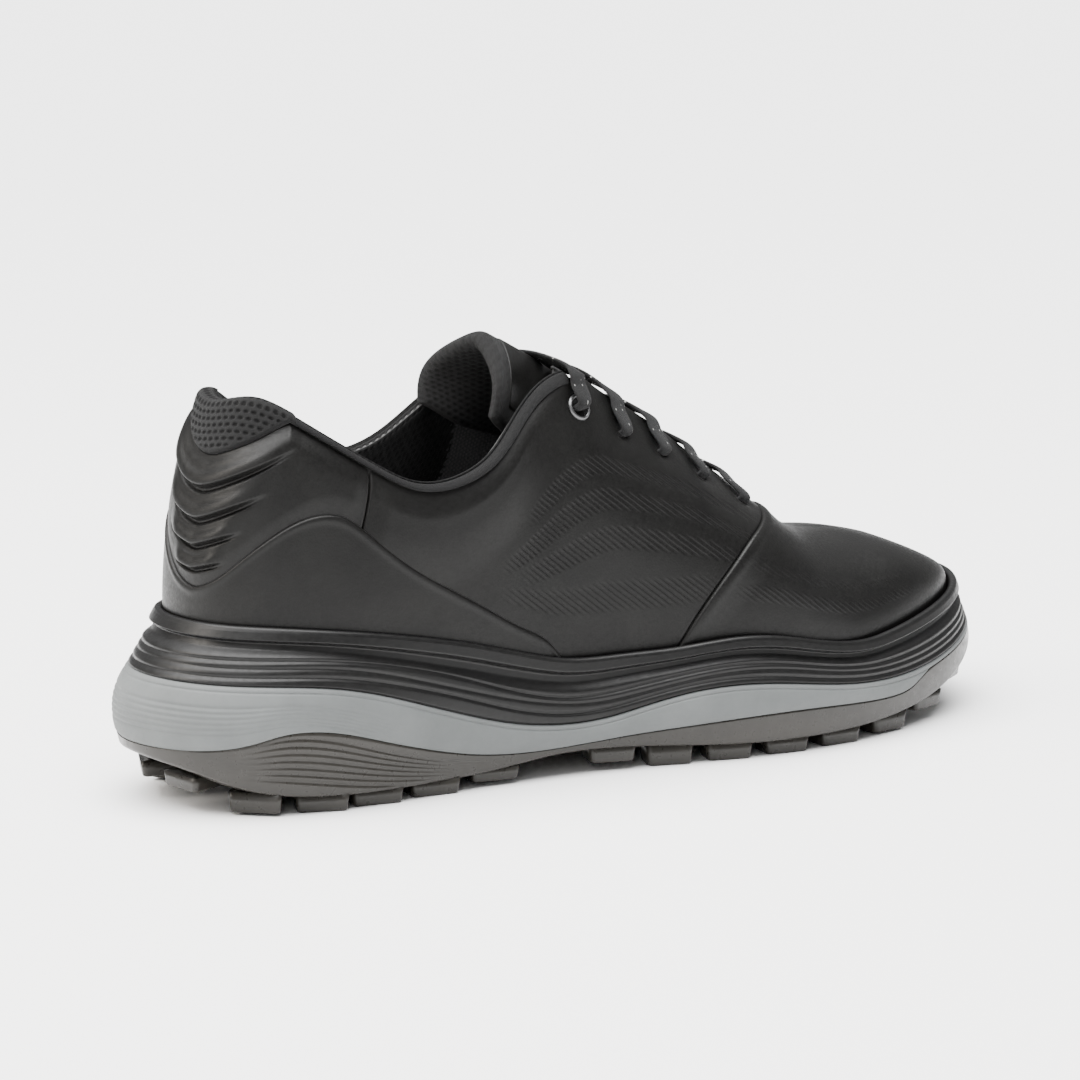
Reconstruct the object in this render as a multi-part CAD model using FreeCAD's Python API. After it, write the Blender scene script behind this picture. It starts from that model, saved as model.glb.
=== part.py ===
"""Spikeless golf shoe, right foot, laced low-cut upper on a three-layer sole.

Frame: +Y towards the toe, +X towards the outer (lateral) side, +Z up, millimetres.
The origin is under the middle of the sole, on the ground that the lugs stand on.
The shape is drawn in a layout frame whose y starts at the heel's rearmost point and is shifted at export.

The upper is one surface: ribs that rise from the sole's lip (the feather line) to the top line.
A rib is named by its station: 0 at the middle of the heel, 11 at the toe's tip, positive on the lateral
side and negative on the medial side. Height along a rib is -1 at the sole's floor, 0 at the lip, 1 at the top.
Every layer of the upper is a patch of that surface between two depths below it.
"""

import FreeCAD
import Part
import math
import os

V = FreeCAD.Vector

# ---------------------------------------------------------------- driving dimensions
LEATHER = 1.4            # thickness of the outer panels
GAP = 0.2                # glue line between two layers of the upper
STIFFENER = 1.6          # heel counter, toe puff and eyestay backing
LINING = 0.9
COLLAR_SWELL = 2.4       # extra depth of the padding at the top line
LIP_WALL = 2.6           # thickness of the midsole's lip around the upper
CUP_CLEARANCE = 0.25     # between the upper and the cup that holds it
BOARD = 2.0              # lasting board
OUTSOLE_SKIN = 3.2
OUTSOLE_WALL = 4.0
FOOTBED = 4.0
FOOTBED_COVER = 0.9
FOOTBED_SIDE_GAP = 2.6
FOOTBED_HEEL_GAP = 4.5
SHANK_LENGTH = 96.0
SHANK_WIDTH = 13.0
SHANK_THICKNESS = 1.5
LACE_WIDTH = 6.4
LACE_GATHERED = 4.8      # its width where it passes through a hole
LACE_THICKNESS = 1.5
LACE_ROWS = [(5.545, 0.887), (6.0, 0.86), (6.40, 0.846), (6.865, 0.829), (7.32, 0.79)]
EYELET_OUTER = 4.2       # radius of the top eyelets' flange
EYELET_HOLE = 3.4        # outer radius of their barrel
SEAM = 0.012             # half of the gap between neighbouring panels, in stations
SEAM_HEIGHT = 0.006      # the same, in rib height
TOE_END = 10.95          # the upper's panels end here, inside the toe of the lip
LUG_SINK = 1.6           # how far a lug reaches up into the outsole's skin

# Feather line: station, lateral x, lateral y, medial x, medial y
FEATHER = [
    (0, 0, 20, 0, 20),
    (1, 17, 24.5, -17, 24.5),
    (2, 28, 38, -27.5, 38),
    (3, 33.5, 60, -33, 59),
    (4, 34.5, 92, -34, 88),
    (5, 36, 126, -35, 118),
    (6, 41.5, 160, -39, 150),
    (7, 47.5, 192, -44.5, 185),
    (8, 47, 226, -47, 222),
    (9, 38.5, 258.5, -43, 257),
    (10, 22.5, 285, -30, 285.5),
    (11, -5, 298.5, -5, 298.5),
]
# Top line, eyestay edge and vamp ridge: station, lateral x, y, z, medial x, y, z
TOP = [
    (0, 0, 32, 115, 0, 32, 115),
    (1, 15, 37, 116.5, -15, 37, 116.5),
    (2, 25, 51, 108.5, -24.5, 51, 109),
    (3, 30.5, 70, 96, -30, 70, 97),
    (4, 33, 92, 90.5, -32, 92, 92.5),
    (4.5, 32, 107.5, 97, -31, 106, 98.5),
    (5, 27.2, 121, 109.8, -26.5, 119.5, 110.5),
    (5.3, 24.2, 130, 116.4, -23.4, 128.5, 116.8),
    (5.55, 21, 140.5, 118.3, -20.2, 139, 118.3),
    (5.8, 18.3, 149.8, 113.6, -17.5, 148.3, 113.6),
    (6, 16.6, 157.2, 109.3, -15.8, 155.5, 109.3),
    (6.5, 14, 175, 99.2, -13.5, 173, 99.2),
    (7, 11.5, 191, 88.4, -11.5, 189, 88.4),
    (7.6, 7.5, 211, 74.8, -8.5, 210, 74.8),
    (8, 0, 226, 64.5, 0, 226, 64.5),
    (9, -2, 256, 57.5, -2, 256, 57.5),
    (10, -4, 282, 50, -4, 282, 50),
    (10.6, -5, 292.5, 44.5, -5, 292.5, 44.5),
    (11, -5, 298.5, 41, -5, 298.5, 41),
]
# How a rib bends: station, pull at the lip, pull at the top, angle at the top in degrees (90 is upright)
RIB = [
    (0, 0.30, 0.30, 62),
    (2, 0.32, 0.32, 72),
    (4, 0.36, 0.36, 88),
    (5, 0.42, 0.40, 76),
    (6, 0.52, 0.48, 50),
    (7, 0.58, 0.52, 30),
    (7.6, 0.60, 0.54, 14),
    (8, 0.62, 0.56, 0),
    (9, 0.70, 0.60, 0),
    (11, 0.74, 0.62, 0),
]
# Profiles along the shoe: (y, z)
LIP = [
    (10, 53.5), (24, 53.5), (40, 52.5), (60, 50), (80, 46.5), (97, 42.8), (118, 37.2), (128, 35.2), (146, 34.9),
    (163, 35.4), (183, 37), (197, 36), (211, 33.2), (223, 31.2), (233, 30.8), (243, 31.8), (260, 34.4),
    (275, 37), (290, 39.4), (304, 41),
]
FLOOR = [(10, 42.5), (60, 41.5), (100, 37), (140, 31.5), (180, 28.6), (220, 26), (250, 26.6), (275, 30), (304, 34)]
BLACK_GREY = [
    (-2, 43.5), (8, 40.8), (18, 39), (33, 37.8), (50, 36), (64, 32.6), (78, 28), (93, 23), (108, 18.8), (124, 16.5),
    (140, 17), (154, 19.8), (168, 22.4), (183, 23.4), (198, 22.4), (221, 19.4), (234, 18.6), (249, 19), (267, 21.5),
    (280, 24.5), (292, 27.5), (306, 31.5),
]
GREY_SMOKE = [
    (-2, 26.8), (5, 25.6), (12, 22), (18, 20), (24, 19.9), (31, 21.7), (37, 24), (43, 24.6), (52, 23.2), (63, 19.8),
    (77, 15.5), (92, 11.8), (107, 9.7), (124, 9.4), (148, 11), (168, 12.3), (187, 13.4), (208, 13.7), (227, 13),
    (241, 12.8), (249, 14.2), (255, 17.2), (264, 19.8), (280, 23.2), (292, 26.2), (306, 30.2),
]
BASE = [
    (-2, 19.5), (7, 15.5), (12, 13.4), (19, 10), (27, 7.2), (42, 5), (56, 4.3), (80, 4.2), (95, 4.4), (108, 5.4),
    (122, 7), (139, 7.4), (155, 6.6), (172, 5.4), (190, 4.6), (214, 4.5), (237, 5.4), (251, 6.8), (262, 8.6),
    (276, 12.6), (290, 18.6), (300, 25), (306, 29),
]
LUG_FOOT = [(-2, 16), (8, 12), (20, 5.5), (30, 1.2), (36, 0), (92, 0), (104, 1.6), (122, 3.2), (140, 3), (152, 1.4),
            (160, 0), (236, 0), (252, 2), (264, 4.6), (276, 8.4), (290, 14.4), (306, 25)]
FLARE = [(-11, 9), (-9, 6.5), (-7.5, 5.8), (-5, 5), (-3, 7.5), (-2, 10), (-1, 14), (0, 17.8), (1, 14), (2, 10),
         (3, 7), (5, 4.6), (7.5, 6), (9, 7), (11, 9)]
# Share of the flare at heights from the ground (0) to the lip (1)
WALL_PROFILE = [(0, 0.56), (0.14, 0.72), (0.26, 0.86), (0.38, 0.97), (0.5, 1.0), (0.62, 0.9), (0.74, 0.64),
                (0.86, 0.34), (1.0, 0.0)]
# Tongue: y, z of its middle line, half width, drop of its edges
TONGUE = [
    (0.0, 221, 59.5, 9, 2.5),
    (0.2, 199, 77.5, 16, 10),
    (0.45, 173, 95.5, 19.5, 16),
    (0.7, 148.5, 113.4, 18.6, 21.5),
    (0.86, 134.0, 122.9, 17.0, 26),
    (0.93, 127.4, 126.8, 18.8, 25.5),
    (1.0, 120.8, 130.3, 24.6, 25),
]
TONGUE_COVER = 1.2
TONGUE_FOAM = 3.6
TONGUE_LINING = 0.8
LABEL = 0.6              # from the tongue's lining to the label's free face


# ---------------------------------------------------------------- curves
def spline(points):
    """Natural cubic spline through (x, y) points, as a function of x."""
    xs = [p[0] for p in points]
    ys = [p[1] for p in points]
    n = len(xs)
    h = [xs[i + 1] - xs[i] for i in range(n - 1)]
    u = [0.0] * n
    q = [0.0] * n
    m = [0.0] * n
    for i in range(1, n - 1):
        slope_change = (ys[i + 1] - ys[i]) / h[i] - (ys[i] - ys[i - 1]) / h[i - 1]
        w = 2 * (h[i - 1] + h[i]) - h[i - 1] * u[i - 1]
        u[i] = h[i] / w
        q[i] = (6 * slope_change - h[i - 1] * q[i - 1]) / w
    for i in range(n - 2, 0, -1):
        m[i] = q[i] - u[i] * m[i + 1]

    def value(x):
        x = min(max(x, xs[0]), xs[-1])
        i = 0
        while i < n - 2 and x > xs[i + 1]:
            i += 1
        a = xs[i + 1] - x
        b = x - xs[i]
        return (
            (m[i] * a**3 + m[i + 1] * b**3) / (6 * h[i])
            + (ys[i] / h[i] - m[i] * h[i] / 6) * a
            + (ys[i + 1] / h[i] - m[i + 1] * h[i] / 6) * b
        )

    return value


def both_sides(rows, lateral, medial, around_toe=False):
    """A spline over signed stations: medial rows at negative stations, lateral rows at positive ones."""
    points = [(-r[0], r[medial]) for r in reversed(rows)] + [(r[0], r[lateral]) for r in rows[1:]]
    if around_toe:
        before = [(-22 + r[0], r[lateral]) for r in (rows[-3], rows[-2])]
        after = [(22 - r[0], r[medial]) for r in (rows[-2], rows[-3])]
        points = before + points + after
    return spline(points)


feather_x = both_sides(FEATHER, 1, 3, True)
feather_y = both_sides(FEATHER, 2, 4, True)
top_x = both_sides(TOP, 1, 4)
top_y = both_sides(TOP, 2, 5)
top_z = both_sides(TOP, 3, 6)
lip_z = spline(LIP)
floor_z = spline(FLOOR)
black_grey_z = spline(BLACK_GREY)
grey_smoke_z = spline(GREY_SMOKE)
base_z = spline(BASE)
lug_z = spline(LUG_FOOT)
flare = spline(FLARE)
wall_share = spline(WALL_PROFILE)
pull_low = spline([(r[0], r[1]) for r in RIB])
pull_top = spline([(r[0], r[2]) for r in RIB])
top_angle = spline([(r[0], r[3]) for r in RIB])


def smooth(x, low, high):
    """0 below low, 1 above high, and an S-curve between."""
    t = min(max((x - low) / (high - low), 0.0), 1.0)
    return t * t * (3 - 2 * t)


def feather(t, offset=0.0):
    """A point of the feather line at station t, moved outwards by offset, as (x, y)."""
    e = 0.02
    dx = feather_x(t + e) - feather_x(t - e)
    dy = feather_y(t + e) - feather_y(t - e)
    length = math.hypot(dx, dy)
    return feather_x(t) + offset * dy / length, feather_y(t) - offset * dx / length


def upper(t, v):
    """A point of the upper's outer surface at station t and rib height v."""
    x, y = feather(t)
    low = lip_z(y)
    if v < 0:
        return V(x, y, low + v * (low - floor_z(y)))
    s = abs(t)
    foot = V(x, y, low)
    top = V(top_x(t), top_y(t), max(top_z(t), low + 0.5))
    rise = top.z - low
    reach = math.hypot(top.x - x, top.y - y)
    back = smooth(s, 6.5, 4.5)
    inward_x, inward_y = feather(t, -1)
    inward = V(inward_x - x, inward_y - y, 0) * back + V(-1 if t > 0 else 1, 0, 0) * (1 - back)
    inward.normalize()
    angle = math.radians(top_angle(s))
    arm = reach * math.cos(angle) + rise * math.sin(angle)
    p1 = foot + V(0, 0, pull_low(s) * rise)
    p2 = top - (inward * math.cos(angle) + V(0, 0, math.sin(angle))) * (pull_top(s) * arm)
    w = 1 - v
    return foot * w**3 + p1 * (3 * w * w * v) + p2 * (3 * w * v * v) + top * v**3


def upper_frame(t, v):
    """The surface point, its outward normal and the direction up the rib."""
    e = 0.004
    t0 = min(max(t, -10.97), 10.97)
    v0 = min(v, 1 - e)
    along = upper(t0 + e, v0) - upper(t0 - e, v0)
    up = upper(t0, v0 + e) - upper(t0, v0 - e)
    normal = along.cross(up)
    normal.normalize()
    up.normalize()
    return upper(t, v), normal, up


def below(t, v, depth):
    """A point depth millimetres inside the upper's outer surface; it never drops under the sole's floor."""
    point, normal, _ = upper_frame(t, v)
    inside = point - normal * depth
    if v <= 0:
        inside.z = point.z
    if v <= -0.999:
        inside.z = floor_z(inside.y) + 0.3
    return inside


def lining_depth(t, v):
    """Depth of the lining's outer face: padded at the collar, thin over the forefoot."""
    rear = smooth(abs(t), 5.5, 4.9)
    swell = COLLAR_SWELL * smooth(v, 0.35, 0.8) * rear
    return LEATHER + STIFFENER + 2 * GAP + swell


# ---------------------------------------------------------------- solids from grids of points
def spline_poles(row):
    """Control points of the evenly spaced natural cubic spline through a row of points."""
    n = len(row)
    if n == 2:
        return [row[0], (row[0] * 2 + row[1]) * (1 / 3), (row[0] + row[1] * 2) * (1 / 3), row[1]]
    ratio = [0.0] * n
    part = list(row)
    for i in range(1, n - 1):
        w = 4 - ratio[i - 1]
        ratio[i] = 1 / w
        part[i] = (row[i] * 6 - part[i - 1]) * (1 / w)
    inner = list(row)
    for i in range(n - 2, 0, -1):
        inner[i] = part[i] - inner[i + 1] * ratio[i]
    first = (inner[0] * 2 + inner[1]) * (1 / 3)
    last = (inner[-1] * 2 + inner[-2]) * (1 / 3)
    return [row[0], first] + inner[1:-1] + [last, row[-1]]


def spline_surface(grid):
    """Smooth surface through a grid of points."""
    rows = [spline_poles(row) for row in grid]
    columns = [spline_poles([row[j] for row in rows]) for j in range(len(rows[0]))]
    poles = [[column[i] for column in columns] for i in range(len(columns[0]))]
    nu = len(grid)
    nv = len(grid[0])
    surface = Part.BSplineSurface()
    surface.buildFromPolesMultsKnots(
        poles,
        [4] + [1] * (nu - 2) + [4],
        [4] + [1] * (nv - 2) + [4],
        [float(i) for i in range(nu)],
        [float(i) for i in range(nv)],
        False,
        False,
        3,
        3,
    )
    return surface


def thick_sheet(outer, inner):
    """A closed solid between two grids of points with the same rows and columns."""
    faces = [spline_surface(outer).toShape(), spline_surface(inner).toShape()]
    rims = [(outer[0], inner[0]), (outer[-1], inner[-1])]
    rims += [([row[k] for row in outer], [row[k] for row in inner]) for k in (0, -1)]
    for first, second in rims:
        wall = Part.BSplineSurface()
        count = len(first)
        wall.buildFromPolesMultsKnots(
            [spline_poles(first), spline_poles(second)],
            [2, 2],
            [4] + [1] * (count - 2) + [4],
            [0.0, 1.0],
            [float(i) for i in range(count)],
            False,
            False,
            1,
            3,
        )
        faces.append(wall.toShape())
    shell = Part.makeShell(faces)
    shell.sewShape()
    solid = Part.makeSolid(shell)
    if solid.Volume < 0:
        solid.reverse()
    return solid


def steps(low, high, count):
    return [low + (high - low) * i / (count - 1) for i in range(count)]


def sheet_between(place, outer_depth, inner_depth, columns, rows):
    """A thick sheet over place(a, b) -> (station, height), a and b from 0 to 1, between two depths."""

    def grid(depth):
        result = []
        for a in steps(0, 1, columns):
            line = []
            for b in steps(0, 1, rows):
                t, v = place(a, b)
                line.append(below(t, v, depth(t, v) if callable(depth) else depth))
            result.append(line)
        return result

    return thick_sheet(grid(outer_depth), grid(inner_depth))


def quad(bottom, top):
    """A place function between a bottom and a top border, each a function of a giving (station, height)."""

    def place(a, b):
        t0, v0 = bottom(a)
        t1, v1 = top(a)
        return t0 + (t1 - t0) * b, v0 + (v1 - v0) * b

    return place


def closed_wire(points):
    curve = Part.BSplineCurve()
    curve.interpolate(points, PeriodicFlag=True)
    return Part.Wire(curve.toShape())


OUTLINE_STATIONS = [-11 + 22 * i / 64 for i in range(64)]


def outline_wire(offset, z):
    """The feather line grown by offset, as a closed wire; z is a height or a function of (station, x, y)."""
    points = []
    for t in OUTLINE_STATIONS:
        x, y = feather(t, offset(t) if callable(offset) else offset)
        points.append(V(x, y, z(t, x, y) if callable(z) else z))
    return closed_wire(points)


def under(profile, low=-40.0):
    """Everything under a profile z(y), as a block that runs across the whole shoe."""
    ys = steps(-20, 320, 86)
    curve = Part.BSplineCurve()
    curve.interpolate([V(-90, y, profile(min(max(y, -2), 306))) for y in ys])
    a = V(-90, ys[0], low)
    b = V(-90, ys[-1], low)
    edges = [
        curve.toShape(),
        Part.makeLine(curve.EndPoint, b),
        Part.makeLine(b, a),
        Part.makeLine(a, curve.StartPoint),
    ]
    return Part.Face(Part.Wire(edges)).extrude(V(180, 0, 0))


def prism(offset, low, high):
    """The feather outline grown by offset, from z low to z high."""
    return Part.Face(outline_wire(offset, low)).extrude(V(0, 0, high - low))


# ---------------------------------------------------------------- sole
WALL_LOW = -6.0
WALL_HIGH = 70.5
WALL_ROWS = 18
WALL_COLUMNS = 73


def sole_block():
    """The whole sole's outer wall, from under the ground to above the lip."""
    grid = []
    for t in steps(0, 22, WALL_COLUMNS):
        station = t if t <= 11 else t - 22
        lip = lip_z(feather_y(station))
        line = []
        for z in steps(WALL_LOW, WALL_HIGH, WALL_ROWS):
            share = wall_share(min(max(z / lip, 0), 1))
            x, y = feather(station, LIP_WALL + (flare(station) - LIP_WALL) * share)
            line.append(V(x, y, z))
        grid.append(line)
    grid[-1] = list(grid[0])
    wall = spline_surface(grid)
    u0, u1, v0, v1 = wall.bounds()
    low = Part.Face(Part.Wire(wall.vIso(v0).toShape()))
    high = Part.Face(Part.Wire(wall.vIso(v1).toShape()))
    shell = Part.makeShell([wall.toShape(), low, high])
    shell.sewShape()
    solid = Part.makeSolid(shell)
    if solid.Volume < 0:
        solid.reverse()
    return solid


def lug(x, y, length, width, turn):
    """One traction lug: a low four-sided block with a chamfered foot, from the ground into the outsole's skin."""
    foot = max(lug_z(y), 0.0)
    top = base_z(y) + LUG_SINK
    sections = []
    for grow, z in ((-0.9, foot), (0.0, foot + 0.9), (0.7, top)):
        a = length / 2 + grow
        b = width / 2 + grow
        corners = [V(-a, -b * 0.72, 0), V(a, -b, 0), V(a * 0.86, b, 0), V(-a * 0.8, b * 0.8, 0)]
        wire = Part.makePolygon(corners + corners[:1])
        wire.rotate(V(0, 0, 0), V(0, 0, 1), turn)
        wire.translate(V(x, y, z))
        sections.append(wire)
    return Part.makeLoft(sections, True, True)


LUG_WIDTH = 12.5
HEEL_LUG_LENGTH = 15.0
FOREFOOT_LUG_LENGTH = 14.0
LUG_INSET = 0.8          # from the foot of the sole's wall to a rim lug's outer face
LUG_EDGE_STATIONS = [0.55, 1.6, 2.5, 3.15, 3.75, 4.35, 5.5, 6.05, 6.65, 7.25, 7.85, 8.5, 9.15, 9.8, 10.45]
LUG_INNER_ROWS = [38, 54, 70, 86, 170, 186, 202, 218, 234, 250, 266]
MIDDLE_OF_ARCH = 125


def lugs(heel):
    """Rim lugs follow the outline; inner lugs stand in pairs down the middle of the heel and forefoot."""
    made = []
    for side in (1, -1):
        for s in LUG_EDGE_STATIONS:
            t = side * s
            edge = LIP_WALL + (flare(t) - LIP_WALL) * wall_share(0)
            x, y = feather(t, edge - LUG_INSET - LUG_WIDTH / 2)
            if (y < MIDDLE_OF_ARCH) != heel:
                continue
            ahead = feather(t + 0.05, 0)
            behind = feather(t - 0.05, 0)
            turn = math.degrees(math.atan2(ahead[1] - behind[1], ahead[0] - behind[0]))
            made.append(lug(x, y, HEEL_LUG_LENGTH if heel else FOREFOOT_LUG_LENGTH, LUG_WIDTH, turn))
        for k, y in enumerate(LUG_INNER_ROWS):
            if (y < MIDDLE_OF_ARCH) != heel:
                continue
            reach = 9.0 if y < 100 or y > 245 else 13.5
            made.append(lug(side * reach - 1.5, y, 11.0, 8.0, side * (35 if k % 2 else -35)))
    return made


def build_sole():
    block = sole_block()
    black = under(black_grey_z)
    grey = under(grey_smoke_z)
    base = under(base_z)
    core = prism(-OUTSOLE_WALL + 3.0, -5.0, 80.0).cut(under(lambda y: base_z(y) + OUTSOLE_SKIN))
    outsole = block.common(grey).cut(base).cut(core)
    heel_lugs = Part.makeCompound([one.common(base) for one in lugs(True)])
    forefoot_lugs = Part.makeCompound([one.common(base) for one in lugs(False)])
    foam = block.common(black).cut(base)
    midsole_lower = foam.cut(block.common(grey).cut(core))
    cup = prism(CUP_CLEARANCE, 0.0, 90.0).cut(under(floor_z))
    midsole_upper = block.common(under(lip_z)).cut(black).cut(cup)
    pocket = shank_solid(CUP_CLEARANCE)
    midsole_upper = midsole_upper.cut(pocket)
    return {
        "outsole": outsole,
        "heel_lugs": heel_lugs,
        "forefoot_lugs": forefoot_lugs,
        "midsole_lower": midsole_lower,
        "midsole_upper": midsole_upper,
        "shank": shank_solid(0.0),
        "lasting_board": board_solid(),
    }


SHANK_START = 78.0
SHANK_DROP = 0.25


def shank_solid(grow):
    """Arch stiffener: a bent strip let into the midsole's floor under the board."""
    half = SHANK_WIDTH / 2 + grow
    y0 = SHANK_START - grow
    y1 = SHANK_START + SHANK_LENGTH + grow
    strip = Part.makeBox(2 * half, y1 - y0, 100, V(-half, y0, 0))
    top = under(lambda y: floor_z(y) - (SHANK_DROP if grow == 0 else -0.5))
    bottom = under(lambda y: floor_z(y) - SHANK_DROP - SHANK_THICKNESS - grow)
    return strip.common(top).cut(bottom)


def wall_stack(t=0.0):
    """Total thickness of the upper's wall at the floor."""
    return lining_depth(t, -1) + LINING


def board_solid():
    plate = prism(-wall_stack() - GAP, 0.0, 90.0)
    return plate.common(under(lambda y: floor_z(y) + BOARD)).cut(under(lambda y: floor_z(y) + 0.05))


def build_footbed():
    """Removable footbed: a foam layer with a fabric cover, loose on the board."""
    rim = lambda t: -wall_stack() - FOOTBED_SIDE_GAP - FOOTBED_HEEL_GAP * smooth(abs(t), 2.2, 0.6)
    plate = prism(rim, 0.0, 90.0)
    rest = BOARD + 0.1
    foam = plate.common(under(lambda y: floor_z(y) + rest + FOOTBED)).cut(under(lambda y: floor_z(y) + rest))
    cover_low = rest + FOOTBED
    cover = plate.common(under(lambda y: floor_z(y) + cover_low + FOOTBED_COVER))
    return {"footbed_foam": foam, "footbed_cover": cover.cut(under(lambda y: floor_z(y) + cover_low))}


# ---------------------------------------------------------------- upper
FOXING_END = 5.35
PANEL_FRONT = 2.82
BACK_TIP = 0.45          # station of the lower tip of the heel panel and of the heel tab
TAB_MEDIAL_END = -0.88   # stations where the mesh tab's lower border reaches the top line
TAB_LATERAL_END = 1.62
vamp_seam = spline(
    [(-1, 5.2), (0, 6.15), (0.12, 6.42), (0.23, 6.65), (0.45, 7.03), (0.66, 7.38), (0.85, 7.62), (1, 7.8)]
)
foxing_border = spline(
    [(-0.6, 0.19), (0, 0.17), (0.4, 0.205), (0.91, 0.31), (1.37, 0.43), (1.71, 0.52), (2.1, 0.60), (2.5, 0.635),
     (2.81, 0.61), (3.43, 0.48), (3.9, 0.34), (4.23, 0.23), (4.65, 0.11), (5.03, 0.0), (5.25, -0.25),
     (5.45, -0.7), (5.65, -0.96), (5.9, -1.0), (6.4, -1.0)]
)
tab_border = spline([(-0.5, 0.76), (0, 0.745), (0.5, 0.785), (0.9, 0.86), (1.33, 0.97), (1.6, 1.03)])


def from_tip(t):
    """Distance in stations from the tips at the back of the heel."""
    return abs(t - BACK_TIP * smooth(abs(t), 3.0, 0.8))


def foxing_top(t):
    """Rib height of the heel foxing's upper border: a V at the heel, a peak at its side, then down to the lip."""
    return foxing_border(from_tip(t))


def tab_bottom(t):
    """Rib height of the mesh heel tab's lower border."""
    return tab_border(from_tip(t))


def across_vamp(low_height):
    """Place function of the vamp: a runs from the seam to the toe, b from the lateral to the medial edge."""

    def place(a, b):
        side = 1 if b <= 0.5 else -1
        r = 1 - abs(2 * b - 1)
        v = low_height + (1 - low_height) * r
        start = vamp_seam(v) + SEAM
        return side * (start + (TOE_END - start) * a), v

    return place


def arch_sheet(place, outer_depth, inner_depth, columns, rows):
    """A thick sheet that crosses the ridge, where the two sides' normals are averaged."""

    def ridge_point(s, depth):
        lateral = below(s, 1.0, depth)
        medial = below(-s, 1.0, depth)
        return (lateral + medial) * 0.5

    def grid(depth):
        result = []
        for a in steps(0, 1, columns):
            line = []
            for b in steps(0, 1, rows):
                t, v = place(a, b)
                line.append(ridge_point(abs(t), depth) if v > 0.999 else below(t, v, depth))
            result.append(line)
        return result

    return thick_sheet(grid(outer_depth), grid(inner_depth))


def build_forefoot():
    vamp = arch_sheet(across_vamp(-1), 0.0, LEATHER, 17, 27)
    puff_start = 9.15

    def puff_place(a, b):
        side = 1 if b <= 0.5 else -1
        r = 1 - abs(2 * b - 1)
        v = -0.9 + 1.9 * r
        return side * (puff_start + (TOE_END - puff_start) * a), v

    depth = LEATHER + GAP
    toe_puff = arch_sheet(puff_place, depth, depth + STIFFENER, 10, 25)
    inner = depth + STIFFENER + GAP
    vamp_lining = arch_sheet(across_vamp(-1), inner, inner + LINING, 17, 27)
    return {"vamp": vamp, "toe_puff": toe_puff, "vamp_lining": vamp_lining}


def lace_hole(t, v, length, width):
    """A short cutter through the upper's layers at a lace hole."""
    point, normal, up = upper_frame(t, v)
    along = up.cross(normal)
    box = Part.makeBox(length, width, 16, V(-length / 2, -width / 2, -9))
    m = FreeCAD.Matrix()
    m.A11, m.A21, m.A31 = along.x, along.y, along.z
    m.A12, m.A22, m.A32 = up.x, up.y, up.z
    m.A13, m.A23, m.A33 = normal.x, normal.y, normal.z
    m.A14, m.A24, m.A34 = point.x, point.y, point.z
    return box.transformShape(m)


def eyelet_cylinder(t, v, radius, low, high):
    point, normal, _ = upper_frame(t, v)
    return Part.makeCylinder(radius, high - low, point + normal * low, normal)


def hole_cutters(side):
    cutters = [eyelet_cylinder(side * LACE_ROWS[0][0], LACE_ROWS[0][1], EYELET_HOLE + 0.1, -9, 6)]
    for s, v in LACE_ROWS[1:]:
        cutters.append(lace_hole(side * s, v, LACE_GATHERED + 1.8, LACE_THICKNESS + 1.8))
    return cutters


def build_quarters():
    made = {}
    inner = LEATHER + GAP + STIFFENER + GAP
    for side, name in ((1, "lateral"), (-1, "medial")):
        cutters = hole_cutters(side)
        upper_part = sheet_between(quarter_place(side), 0.0, LEATHER, 31, 14)
        made["quarter_" + name] = upper_part.cut(cutters)
        backing = quad(
            lambda a, k=side: (k * (5.45 + (vamp_seam(0.6) - 5.45) * a), 0.6),
            lambda a, k=side: (k * (5.62 + (vamp_seam(0.97) - 0.05 - 5.62) * a), 0.97),
        )
        strip = sheet_between(backing, LEATHER + GAP, LEATHER + GAP + STIFFENER, 12, 6)
        made["eyestay_backing_" + name] = strip.cut(cutters)
        forward = lining_place(side)
        lining = sheet_between(forward, inner, inner + LINING, 14, 12)
        made["quarter_lining_" + name] = lining.cut(cutters)
    return made


def quarter_place(side):
    """From the heel panel forward to the vamp; the lower border follows the foxing and then the cup's floor."""

    def place(a, b):
        rear = PANEL_FRONT + SEAM
        v_low = 0.0
        for _ in range(12):
            s_low = rear + (vamp_seam(v_low) - SEAM - rear) * a
            v_low = 0.5 * v_low + 0.5 * max(foxing_border(s_low) + SEAM_HEIGHT, -1.0)
        v = v_low + (1 - v_low) * b
        return side * (rear + (vamp_seam(v) - SEAM - rear) * a), v

    return place


LINING_SPLIT = 5.05


def lining_place(side):
    def place(a, b):
        v = -1 + 2 * b
        end = vamp_seam(v) - SEAM
        return side * (LINING_SPLIT + (end - LINING_SPLIT) * a), v

    return place


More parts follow.
